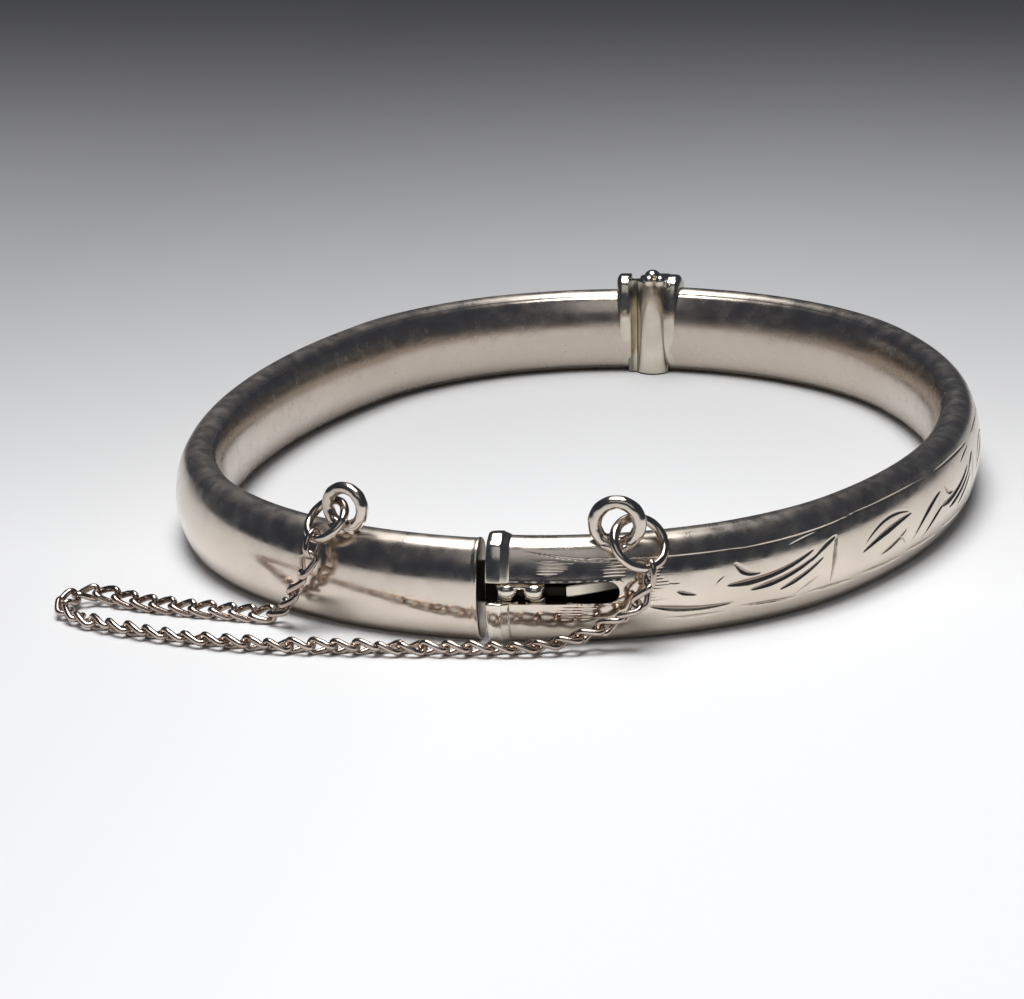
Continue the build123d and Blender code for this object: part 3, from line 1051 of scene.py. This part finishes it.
    def mouth_inside(self) -> None:
        """The hollow that the tongue enters: the tube's inner face and its edge at the mouth, painted
        near-black as shade.
        """
        start = self.round_start
        first, second = spaced(self.mouth, start, 0.2), spaced(start, self.hollow_end, 0.2)
        along = np.concatenate([first, second[1:]])
        rows, angles, keep = self.slotted(along, self.inner_step)
        shape = Surface()
        shape.add(ENGRAVED.skin(rows, angles, -self.wall), keep=keep, flip=True)
        inner = ENGRAVED.section.angles(*INSIDE, self.inner_step)
        shape.add(ENGRAVED.skin(along, inner, -self.wall), flip=True)
        back = ENGRAVED.section.angles(-math.pi, math.pi, 0.2)
        shape.add(ENGRAVED.cap(self.hollow_end, back, -self.wall, np.linspace(0, 1, 4)))
        piece = shape.piece("mouth_inside", PAINTED_SHADE_SILVER, weld=False)
        install(piece, Body.ENGRAVED_HALF.value)

    def lining(self, end: float) -> None:
        """The lining against the wrist, as far as the hinge's plate."""
        along = spaced(self.mouth, end, 0.16)
        angle = ENGRAVED.section.angles(*INSIDE, self.inner_step)
        uneven = 0.012 * smooth_noise(along[:, None] * 0.7, angle[None, :] * 2.5, 6)
        shape = Surface()
        shape.add(ENGRAVED.skin(along, angle, seam_dip(angle, ENGRAVED.section)[None, :] + uneven))
        piece = shape.piece("skin_engraved_inner_lining", LINING_SILVER, weld=False)
        install(piece, Body.ENGRAVED_HALF.value, "engraved_inner_lining")

    def collar(self) -> None:
        """The band soldered round the mouth: a filed flat, a sharp edge and a sloping flank.

        The profile across the band is carried round the section from the slot's upper edge,
        over the top, to its lower edge. Flats filed by hand make it slightly uneven.
        """
        low, high = self.slot_angles()
        angle = ENGRAVED.section.angles(high, FULL_TURN + low, 0.06)
        band, flank = self.collar_band, self.collar_flank
        across = np.array([0, 0, 0.03, 0.1, 0.3, 0.55, band - 0.04, band, band + 0.04, band + 0.3])
        rise = np.array([-0.4, 0.12, 0.19, 0.22, 0.25, 0.26, 0.27, 0.24, 0.20, 0.11])
        across = np.append(across, [band + flank - 0.03, band + flank])
        rise = np.append(rise, [0.03, -0.05])
        flats = 0.03 * np.abs(np.sin(4.2 * angle + 0.4)) * (across[:, None] < band)
        grow = rise[:, None] + np.where(rise[:, None] > 0.1, -flats, 0.0)
        along = self.mouth + across
        grid = ENGRAVED.skin(along, angle, grow)
        grid[..., 2] = np.maximum(grid[..., 2], 0.0)
        shape = Surface()
        shape.add(grid)
        for column in (0, -1):
            edge = grid[:, column]
            foot = ENGRAVED.skin(along, angle[[column]], np.full((len(along), 1), -self.wall))
            shape.add(np.stack([edge, foot[:, 0]]), flip=column == 0)
        piece = shape.piece("mouth_collar_band", CLASP_SILVER)
        install(piece, Body.ENGRAVED_HALF.value, "mouth_collar")


def finish_node(node: str, finish: Silver) -> None:
    """Give a CAD node that is shown a metal."""
    thing = frame["nodes"][node]
    thing.data.materials.clear()
    thing.data.materials.append(finish.material())


# ------------------------------------------------------------------------ wire and balls


def frames(path: Array, up: Array) -> tuple[Array, Array]:
    """Two directions square to a closed path at each point.

    Args:
        path: points of the path, one for each row.
        up: the rough upward direction at each point.

    Returns:
        The sideways and the upward direction at each point.
    """
    ahead = np.roll(path, -1, axis=0) - np.roll(path, 1, axis=0)
    ahead /= np.linalg.norm(ahead, axis=1, keepdims=True)
    side = np.cross(ahead, up)
    side /= np.linalg.norm(side, axis=1, keepdims=True)
    return side, np.cross(side, ahead)


def wire(path: Array, up: Array, radius: Array, sides: int, flat: float = 1.0) -> Array:
    """Round or flattened wire along a closed path.

    Args:
        path: points of the wire's centre.
        up: the rough direction that the wire is flattened along, one or one per point.
        radius: the wire's radius, one or one per point.
        sides: points round the wire.
        flat: thickness along `up` as a share of the width.

    Returns:
        Points as rows along the wire by columns round it.
    """
    side, rise = frames(path, np.broadcast_to(up, path.shape))
    turn = round_turn(sides)[None, :, None]
    radius = np.broadcast_to(radius, (len(path),))[:, None, None]
    circle = side[:, None] * np.cos(turn) + rise[:, None] * flat * np.sin(turn)
    return path[:, None] + radius * circle


def ball(centre: Triple, radii: Triple, seed: int, lumps: float) -> Array:
    """A stretched and slightly lumpy ball.

    Args:
        centre: its middle.
        radii: half its size on each axis.
        seed: chooses the lumps.
        lumps: how high they are, as a share of the size.

    Returns:
        Points as rows from pole to pole by columns round.
    """
    polar = np.linspace(0, math.pi, 21)[:, None]
    turn = round_turn(32)[None, :]
    lump = 1 + lumps * smooth_noise(3 * np.cos(polar), 3 * np.sin(polar) * np.cos(turn), seed)
    x = np.sin(polar) * np.cos(turn)
    y = np.sin(polar) * np.sin(turn)
    z = np.cos(polar) * np.ones_like(turn)
    shape = np.stack([x * radii[0], y * radii[1], z * radii[2]], axis=-1) * lump[..., None]
    return np.asarray(centre) + shape


@dataclass(frozen=True)
class Ring:
    """A round wire ring: its centre, the direction it faces, its radius and its wire's."""

    centre: Triple
    facing: Triple
    radius: float
    wire: float

    def grid(self, wobble: float = 0.0) -> Array:
        """The ring's surface: a circle carried round a slightly uneven circle.

        Args:
            wobble: how far the ring is out of round, as a share of its radius.

        Returns:
            Points as rows round the ring by columns round its wire.
        """
        facing = np.array(self.facing) / np.linalg.norm(self.facing)
        level = np.cross(facing, (0.0, 0.0, 1.0))
        level /= np.linalg.norm(level)
        rise = np.cross(level, facing)
        turn = round_turn(96)
        reach = self.radius * (1 + wobble * np.cos(2 * turn + 0.7))
        path = np.array(self.centre) + reach[:, None] * (
            np.cos(turn)[:, None] * level + np.sin(turn)[:, None] * rise
        )
        thick = self.wire * (1 + 0.03 * np.sin(3 * turn) + 0.02 * np.sin(11 * turn))
        return wire(path, facing, thick, 28)


ENGRAVED_RING = Ring((8.90, -32.38, 6.37), (0.517, -0.594, 0.617), 1.63, 0.29)
PLAIN_RING = Ring((-10.33, -31.23, 6.71), (-0.464, -0.546, 0.698), 1.38, 0.27)


@dataclass
class Findings:
    """The two fixed loops and the two jump rings."""

    engraved_angle: float = 18.6
    plain_angle: float = 21.6

    def loop(
        self,
        half: HalfTube,
        angle: float,
        out: float,
        z: float,
        facing: float,
        radius: float,
        thick: float,
    ) -> Ring:
        """A loop that stands on the tube, at an angle round the clasp arc.

        Args:
            half: the half that carries it.
            angle: degrees round the clasp arc from the long axis.
            out: how far outside the centreline it stands.
            z: height of its centre.
            facing: degrees that it is turned towards its half's side.
            radius: the ring's radius.
            thick: the wire's radius.

        Returns:
            The loop.
        """
        turn, face = math.radians(angle), math.radians(facing)
        reach = half.clasp_radius + out
        centre = (half.side * reach * math.sin(turn), half.clasp_y - reach * math.cos(turn), z)
        return Ring(centre, (half.side * math.sin(face), -math.cos(face), 0.0), radius, thick)

    def build(self) -> None:
        """Make both loops with their solder, and both rings."""
        loops = (
            ("engraved_chain_loop", Body.ENGRAVED_HALF,
             self.loop(ENGRAVED, self.engraved_angle, 1.05, 7.45, 0, 1.32, 0.43), 3),
            ("plain_chain_loop", Body.PLAIN_HALF,
             self.loop(PLAIN, self.plain_angle, 0.85, 7.6, 21.6, 1.22, 0.38), 4),
        )
        for name, body, loop, seed in loops:
            shape = Surface()
            shape.add(loop.grid(0.02), wrap=(True, True))
            x, y, z = loop.centre
            foot = z - loop.radius - 0.12
            solder = (
                ball((x - 0.45, y, foot + 0.1), (0.62, 0.48, 0.42), seed, 0.25),
                ball((x + 0.3, y - 0.05, foot), (0.55, 0.45, 0.36), seed + 5, 0.3),
            )
            for lump in solder:
                shape.add(lump, wrap=(False, True))
            install(shape.piece("wire_" + name, WIRE_SILVER), body.value, name)
        rings = (
            ("engraved_jump_ring", Body.ENGRAVED_RING, ENGRAVED_RING),
            ("plain_jump_ring", Body.PLAIN_RING, PLAIN_RING),
        )
        for name, body, ring in rings:
            shape = Surface()
            shape.add(ring.grid(0.01), wrap=(True, True))
            install(shape.piece("wire_" + name, WIRE_SILVER), body.value, name)


# ------------------------------------------------------------------------------- chain


@dataclass
class SafetyChain:
    """The curb chain: twisted links on the route from one jump ring to the other."""

    length: float = 1.96
    width: float = 1.28
    end_width: float = 1.3
    thick: float = 0.215
    twist: float = 0.24
    level: float = 0.47
    groups: tuple[int, ...] = (6, 5, 5, 5, 5, 4, 3, 6, 8)

    def route(self) -> Array:
        """The points that the chain's line passes through."""
        z = self.level
        return np.array(
            [
                (9.57, -33.10, 5.40), (9.55, -33.30, 4.1), (8.8, -33.5, 2.8), (7.5, -33.7, 1.8),
                (5.8, -34.2, 1.1), (3.4, -34.9, 0.6), (0.0, -35.5, z), (-4.8, -36.0, z),
                (-10.4, -36.5, z), (-15.1, -36.4, z), (-20.1, -35.4, z), (-23.8, -34.2, z),
                (-26.0, -32.9, z), (-27.2, -31.1, 0.6), (-26.0, -29.4, 0.75), (-24.0, -29.6, 0.6),
                (-20.5, -30.4, z), (-16.0, -31.0, z), (-13.6, -31.5, 0.8), (-12.3, -32.3, 2.3),
                (-11.4, -32.6, 4.0), (-10.89, -31.86, 6.01),
            ]
        )

    def line(self) -> Array:
        """A smooth line through the route: the natural cubic spline over chord lengths.

        Returns:
            Points close together along the line.
        """
        points = self.route()
        run = np.concatenate([[0], np.cumsum(np.linalg.norm(np.diff(points, axis=0), axis=1))])
        step = np.diff(run)
        count = len(points)
        system = np.eye(count)
        right = np.zeros((count, 3))
        inner = np.arange(1, count - 1)
        system[inner, inner - 1] = step[:-1]
        system[inner, inner] = 2 * (step[:-1] + step[1:])
        system[inner, inner + 1] = step[1:]
        slope = np.diff(points, axis=0) / step[:, None]
        right[inner] = 6 * np.diff(slope, axis=0)
        bend = np.linalg.solve(system, right)
        at = np.linspace(0, run[-1], 4000)
        cell = np.clip(np.searchsorted(run, at, side="right") - 1, 0, count - 2)
        h = step[cell][:, None]
        a = (run[cell + 1] - at)[:, None] / h
        b = 1 - a
        curve = (a**3 - a) * bend[cell] + (b**3 - b) * bend[cell + 1]
        return a * points[cell] + b * points[cell + 1] + curve * h**2 / 6

    def places(self) -> tuple[Array, Array]:
        """Where the links lie, evenly spaced along the line.

        Returns:
            The middle of each link, and the direction that it points in.
        """
        line = self.line()
        run = np.concatenate([[0], np.cumsum(np.linalg.norm(np.diff(line, axis=0), axis=1))])
        count = sum(self.groups)
        at = (np.arange(count) + 0.5) * run[-1] / count
        near = 0.2 * np.array([[0], [1], [-1]]) + at
        here, ahead, behind = np.stack([np.interp(near, run, values) for values in line.T], axis=-1)
        along = ahead - behind
        return here, along / np.linalg.norm(along, axis=1, keepdims=True)

    def link(self, here: Array, along: Array, up: Array, width: float, twist: float) -> Array:
        """One link: an oval path whose height follows the sine of twice its turn.

        Args:
            here: the link's middle.
            along: the direction that it points in.
            up: the direction that its flat side faces.
            width: the link's outside width.
            twist: how far the wire rises and falls.

        Returns:
            The wire's surface.
        """
        side = np.cross(up, along)
        turn = round_turn(26)
        ahead, across = squared(turn, 0.85)
        x = (self.length / 2 - self.thick) * ahead
        y = (width / 2 - self.thick) * across
        z = twist * np.sin(2 * turn)
        path = here + x[:, None] * along + y[:, None] * side + z[:, None] * up
        return wire(path, up, self.thick, 9, 0.92)

    def build(self) -> None:
        """Make one piece for each rigid length of chain."""
        here, along = self.places()
        generator = np.random.default_rng(21)
        lean = generator.normal(0, math.radians(12), len(here)) + math.radians(28)
        ends = {0: ENGRAVED_RING.facing, len(here) - 1: PLAIN_RING.facing}
        number = 0
        for index, size in enumerate(self.groups, start=1):
            shape = Surface()
            for _ in range(size):
                ahead = along[number]
                if number in ends:
                    up = np.cross(ends[number], (0.0, 0.0, 1.0))
                    width, twist = self.end_width, 0.0
                else:
                    side = np.cross(ahead, (0.0, 0.0, 1.0))
                    side /= np.linalg.norm(side)
                    rise = np.cross(side, ahead)
                    up = rise * math.cos(lean[number]) + side * math.sin(lean[number])
                    width, twist = self.width, self.twist
                up = up - ahead * float(up @ ahead)
                up /= np.linalg.norm(up)
                shape.add(self.link(here[number], ahead, up, width, twist), wrap=(True, True))
                number += 1
            node = f"safety_chain_{index}"
            install(shape.piece(f"chain_links_{index}", CHAIN_SILVER), BODY_OF[node], node)


# ------------------------------------------------------------------------ clasp and hinge


@dataclass
class ThumbPiece:
    """The double press that stands out of the slot: two balls, a saddle and square feet."""

    first: float = 0.39
    last: float = 3.33
    low: float = -0.70
    high: float = 0.62
    slab: float = 2.15
    lobe_at: float = 0.82
    leaf_start: float = 4.43
    level: float = 3.4
    base_radius: float = 62.7
    hinge_y: float = 31.6

    def place(self, distance: Array, level: Array, height: Array) -> Array:
        """Points on an arc about the hinge axis.

        Args:
            distance: distances round the arc, from the long axis.
            level: how far outside the arc each point stands.
            height: heights above the table.

        Returns:
            Points with three coordinates on the last axis.
        """
        turn = distance / self.base_radius
        radius = self.base_radius + level
        return np.stack(
            np.broadcast_arrays(
                radius * np.sin(turn), self.hinge_y - radius * np.cos(turn), height
            ),
            axis=-1,
        )

    def build(self) -> None:
        """Make the press: one front surface over a rectangle, with its sides carried inwards.

        The front's level is a slab, plus the higher of a ball and leg on each side and a bar
        along the top, less a V that opens downwards between the legs.
        """
        along = np.linspace(self.first, self.last, 81)[:, None]
        height = np.linspace(self.low, self.high, 49)[None, :]
        middle = (along[0, 0] + along[-1, 0]) / 2
        x = along - middle
        half = x[-1, 0]
        lobe = np.abs(np.abs(x) - self.lobe_at)
        ball_part = np.sqrt(np.clip(1 - (lobe / 0.74) ** 2 - ((height - 0.10) / 0.56) ** 2, 0, 1))
        leg = np.clip(1 - (lobe / 0.72) ** 4, 0, 1) ** 0.5
        notch = 1 - np.clip(1.25 - np.abs(x) / (0.04 + 0.55 * np.clip(0.22 - height, 0, 1)), 0, 1)
        edge = np.clip(1 - (x / (half + 1e-6)) ** 12, 0, 1) ** 0.5
        edge = edge * np.clip(1 - (height / 0.66) ** 10, 0, 1) ** 0.5
        bar = np.sqrt(np.clip(1 - ((height - 0.34) / 0.27) ** 2, 0, 1))
        bar = bar * (0.74 - 0.16 * np.exp(-((x / 0.3) ** 2)))
        level = self.slab + np.maximum(0.34 * leg + 0.60 * ball_part, bar) * edge
        level = level - 0.34 * (1 - notch) * (height < 0.16)
        front = self.place(along, level, self.level + height)
        shape = Surface()
        shape.add(front)
        for rim in (front[0], front[-1], front[:, 0], front[:, -1]):
            inwards = (np.array([0.0, self.hinge_y, 0.0]) - rim) * (1, 1, 0)
            inwards /= np.linalg.norm(inwards, axis=1, keepdims=True)
            shape.add(np.stack([rim, rim + 0.15 * inwards]))
        piece = shape.piece("thumb_press", CLASP_SILVER)
        install(piece, Body.TONGUE.value, "thumb_piece")
        self.sprung_leaf()

    def sprung_leaf(self) -> None:
        """The sprung leaf: a band with a blunt end that dives inwards, painted darker as shade towards
        its far end, and its neck, painted near-black as shade.
        """
        along = np.array([0, 0, 0.04, 0.17, 0.77, 1.57, 2.37, 3.17, 4.17])[:, None] + self.leaf_start
        share = (along - self.leaf_start) / 4.2
        top = 2.0 - 0.55 * share
        half = np.array([0.0, 0.33, 0.37, 0.38, 0.37, 0.34, 0.30, 0.28, 0.28])[:, None]
        across, rise = squared(round_turn(32)[None, :], 0.3)
        thick = np.array([0.0, 0.17, 0.19, 0.19, 0.17, 0.15, 0.15, 0.15, 0.15])[:, None]
        height = self.level - 0.08 + 0.52 * share + half * across
        grid = self.place(along, top - 0.2 + thick * rise, height)
        shape = Surface()
        # Painted shade: the leaf darkens towards its far end, which lies in the slot's shadow.
        dark = np.broadcast_to(np.clip(3.0 * share - 0.5, 0, 1.3), grid.shape[:2])
        shape.add(grid, wrap=(False, True), cut=dark)
        install(shape.piece("sprung_leaf", CLASP_SILVER), Body.TONGUE.value, "tongue_spring_leaf")
        # The neck lies deep in the slot and is painted near-black as shade.
        neck = np.linspace(0.6, 4.6, 17)[:, None]
        level = 1.15 + 0.12 * (9.0 - neck) + 0.1 * rise
        under = Surface()
        under.add(self.place(neck, level, self.level - 0.1 + 0.3 * across), wrap=(False, True))
        install(under.piece("leaf_neck", PAINTED_SHADE_SILVER), Body.TONGUE.value, "tongue_spring_leaf")


@dataclass
class Hinge:
    """The hinge: a tall plate on each half, three knuckles and a domed pin."""

    axis_y: float = 31.6
    barrel: float = 0.95
    height: float = 7.5
    plate: float = 0.9
    plain_end: float = 1.7
    engraved_end: float = 1.0
    levels: tuple[float, float, float, float] = (0.05, 2.1, 4.9, 7.55)
    gap: float = 0.06
    pin: float = 0.42
    pin_head: float = 0.6
    bead: float = 0.46

    def tall_plate(self, shape: Surface, half: HalfTube, end: float) -> None:
        """A closed slice of a taller oval with rounded edges.

        Args:
            shape: the surface that it is added to.
            half: the half whose end it closes.
            end: its distance from the long axis.
        """
        outline = replace(half, height=self.height)
        outline.section = Oval(half.width + 0.1, self.height, 1.25)
        far, near = outline.length - end, outline.length - end - self.plate
        angle = outline.section.angles(-math.pi, math.pi, 0.12)[:-1]
        shares = np.linspace(0, 1, 6)
        start = outline.cap(near - 0.25, angle, -0.42, shares)
        close = outline.cap(far, angle, -0.10, shares[::-1])
        edge = np.array([near - 0.15, near - 0.05, near + 0.05, near + 0.2, far - 0.1, far - 0.02])
        grow = np.array([-0.22, -0.08, -0.02, 0.0, -0.0, -0.04])[:, None]
        grid = np.concatenate([start, outline.skin(edge, angle, grow), close])
        shape.add(grid, wrap=(False, True))

    def knuckle(self, shape: Surface, low: float, high: float) -> None:
        """One barrel from low to high: a circle carried up, with rounded and closed ends."""
        radius = self.barrel * np.array([0, 0.45, 0.8, 0.93, 1, 1, 0.93, 0.8, 0.45, 0])
        z = np.array([low, low, low + 0.01, low + 0.05, low + 0.14])
        z = np.concatenate([z, high - (z[::-1] - low)])
        self.turned(shape, radius, z)

    def turned(self, shape: Surface, radius: Array, z: Array) -> None:
        """A surface turned about the hinge axis.

        Args:
            shape: the surface that it is added to.
            radius: the profile's distances from the axis.
            z: the profile's heights.
        """
        turn = round_turn(48)[None, :]
        grid = np.stack(
            np.broadcast_arrays(
                radius[:, None] * np.cos(turn),
                self.axis_y + radius[:, None] * np.sin(turn),
                z[:, None],
            ),
            axis=-1,
        )
        shape.add(grid, wrap=(False, True))

    def arm(self, shape: Surface, side: int, end: float, low: float, high: float) -> None:
        """The web between a knuckle and its plate: a rounded rectangle carried sideways.

        Args:
            shape: the surface that it is added to.
            side: 1 for the engraved half and -1 for the plain one.
            end: the plate's distance from the long axis.
            low: the web's lower face.
            high: its upper face.
        """
        across, rise = squared(round_turn(40), 0.25)
        y = 0.75 * across
        z = (high - low) / 2 * rise
        x = side * np.array([0.2, 0.2, end + 0.2, end + 0.2])
        scale = np.array([0.0, 1.0, 1.0, 0.0])
        middle = (low + high) / 2
        grid = np.stack(
            np.broadcast_arrays(
                x[:, None], self.axis_y + 0.35 + scale[:, None] * y, middle + scale[:, None] * z
            ),
            axis=-1,
        )
        shape.add(grid, wrap=(False, True))

    def strap(self, shape: Surface) -> None:
        """The curved cover inside the knuckles, with a wing that closes the gap: a C carried up."""
        low, _, _, high = self.levels
        turn = np.linspace(math.radians(205), math.radians(335), 40)
        inner, outer, wing = 1.02, 1.30, 1.80
        x = np.concatenate([[-wing], outer * np.cos(turn), inner * np.cos(turn[::-1]), [-wing]])
        y = np.concatenate([[-0.62], outer * np.sin(turn), inner * np.sin(turn[::-1]), [-0.46]])
        z = np.array([low, low + 0.04, low + 0.12, high - 0.3, high - 0.2, high - 0.15])[:, None]
        draw = np.array([0.93, 0.98, 1.0, 1.0, 0.98, 0.93])[:, None]
        grid = np.stack(np.broadcast_arrays(x * draw, self.axis_y + y * draw, z), axis=-1)
        shape.add(grid, wrap=(False, True))
        for end in (0, -1):
            shape.add(np.stack([grid[end, :41], grid[end, :40:-1]]))
        for bead in (-0.1, 0.75):
            place = (bead, self.axis_y - outer + 0.15, high - 0.15)
            shape.add(ball(place, (self.bead,) * 3, 8, 0.03), wrap=(False, True))

    def build(self) -> None:
        """Make the engraved half's knuckles, the plain half's one and the pin."""
        low, first, second, high = self.levels
        outer, middle, pin = Surface(), Surface(), Surface()
        self.tall_plate(outer, ENGRAVED, self.engraved_end)
        self.tall_plate(middle, PLAIN, self.plain_end)
        self.strap(outer)
        for bottom, top in ((low, first), (second, high)):
            self.knuckle(outer, bottom, top)
            self.arm(outer, 1, self.engraved_end, bottom, top)
        self.knuckle(middle, first + self.gap, second - self.gap)
        self.arm(middle, -1, self.plain_end, first + self.gap, second - self.gap)
        rise = np.linspace(0, math.pi / 2, 12)
        shank = [0, self.pin, self.pin, self.pin_head]
        radius = np.concatenate([shank, self.pin_head * np.cos(rise)])
        z = np.concatenate([[low, low, high, high], high + 0.45 * np.sin(rise)])
        self.turned(pin, radius, z)
        for shape, name, node, body in (
            (outer, "hinge_knuckles", "engraved_hinge_knuckles", Body.ENGRAVED_HALF),
            (middle, "hinge_middle", "plain_hinge_knuckle", Body.PLAIN_HALF),
            (pin, "hinge_pin_head", "hinge_pin", Body.ENGRAVED_HALF),
        ):
            install(shape.piece(name, CLASP_SILVER), body.value, node)


# ----------------------------------------------------------------- table, lights, camera


@dataclass
class Studio:
    """A pale table, soft boxes in dark surroundings and the camera."""

    table: float = 1.2
    lens: float = 119.53
    camera_at: Triple = (38.63, -220.9, 66.55)
    looks_at: Triple = (-4.91, -0.97, -0.88)
    roll: float = -1.126

    def build(self) -> None:
        """Make the table, the lights and the camera."""
        self.make_table()
        self.make_world()
        self.soft_box("key_box", (-0.03, -0.07, 0.62), (0, -0.02, 0), (0.36, 0.32), 4.0)
        self.soft_box("back_box", (-0.09, 0.26, 0.62), (-0.09, 0.20, 0), (0.30, 0.34), 0.9)
        self.soft_box("front_box", (0.05, -0.85, 0.60), (0, 0, 0), (0.75, 0.42), 0.45)
        self.make_camera()

    def make_table(self) -> None:
        """A flat pale surface, painted darker towards the back and on the left as shade where the light
        falls off.
        """
        nodes = Nodes("table_painted_falloff")
        # Painted shade: the colour darkens to grey towards the back and a little on the left, standing
        # in for the light's falloff.
        near = nodes.maths("POWER", nodes.ramp(nodes.axis("Y"), -0.02, 0.24, 1.0, 0.0), 1.8)
        lit = nodes.maths("MULTIPLY", near, nodes.ramp(nodes.axis("X"), -0.06, 0.0, 0.76, 1.0))
        colour = nodes.mix(lit, (0.05, 0.05, 0.052), (0.86, 0.86, 0.86))
        nodes.tree.links.new(colour, nodes.surface.inputs["Base Color"])
        nodes.surface.inputs["Roughness"].default_value = 0.65
        nodes.surface.inputs["Specular IOR Level"].default_value = 0.2
        reach = np.linspace(-self.table, self.table, 9)
        x, y = np.meshgrid(reach, reach, indexing="ij")
        points = np.stack([x, y, np.full_like(x, -2e-5)], axis=-1).reshape(-1, 3)
        mesh = bpy.data.meshes.new("table")
        mesh.from_pydata(points.tolist(), [], grid_quads(9, 9).reshape(-1, 4).tolist())
        mesh.materials.append(nodes.material)
        table = bpy.data.objects.new("table", mesh)
        bpy.context.scene.collection.objects.link(table)

    def make_world(self) -> None:
        """Dim grey surroundings, so that polished metal shows dark bands."""
        world = bpy.data.worlds.new("surroundings")
        world.use_nodes = True
        background = world.node_tree.nodes["Background"]
        background.inputs["Color"].default_value = (0.62, 0.72, 0.95, 1)
        background.inputs["Strength"].default_value = 0.065
        bpy.context.scene.world = world
        bpy.context.scene.view_settings.view_transform = "Standard"

    def soft_box(
        self, name: str, at: Triple, target: Triple, size: tuple[float, float], power: float
    ) -> None:
        """A rectangular light that faces a target.

        Args:
            name: the light's name.
            at: its place, in metres.
            target: the point that it faces, in metres.
            size: its width and depth, in metres.
            power: its power, in watts.
        """
        light = bpy.data.lights.new(name, "AREA")
        light.shape = "RECTANGLE"
        light.size, light.size_y = size
        light.energy = power
        lamp = bpy.data.objects.new(name, light)
        lamp.location = at
        ahead = Vector(target) - Vector(at)
        lamp.rotation_euler = ahead.to_track_quat("-Z", "Y").to_euler()
        bpy.context.scene.collection.objects.link(lamp)

    def make_camera(self) -> None:
        """The camera, turned slightly about its own axis."""
        data = bpy.data.cameras.new("camera")
        data.lens = self.lens
        data.sensor_width = 36
        data.sensor_fit = "HORIZONTAL"
        data.clip_start = 0.01
        camera = bpy.data.objects.new("camera", data)
        at = Vector(self.camera_at) * MM
        ahead = Vector(self.looks_at) * MM - at
        turn = ahead.to_track_quat("-Z", "Y").to_matrix().to_4x4()
        camera.matrix_world = (
            Matrix.Translation(at) @ turn @ Matrix.Rotation(math.radians(self.roll), 4, "Z")
        )
        bpy.context.scene.collection.objects.link(camera)
        bpy.context.scene.camera = camera


def main() -> None:
    """Build every sub-assembly in order, then the studio."""
    logging.basicConfig(level=logging.INFO)
    bangle = (PlainHalf(), EngravedHalf(), ThumbPiece(), Findings(), SafetyChain(), Hinge())
    for part in (*bangle, Studio()):
        part.build()
        LOG.info("built %s", type(part).__name__)


if __name__ == "__main__":
    main()
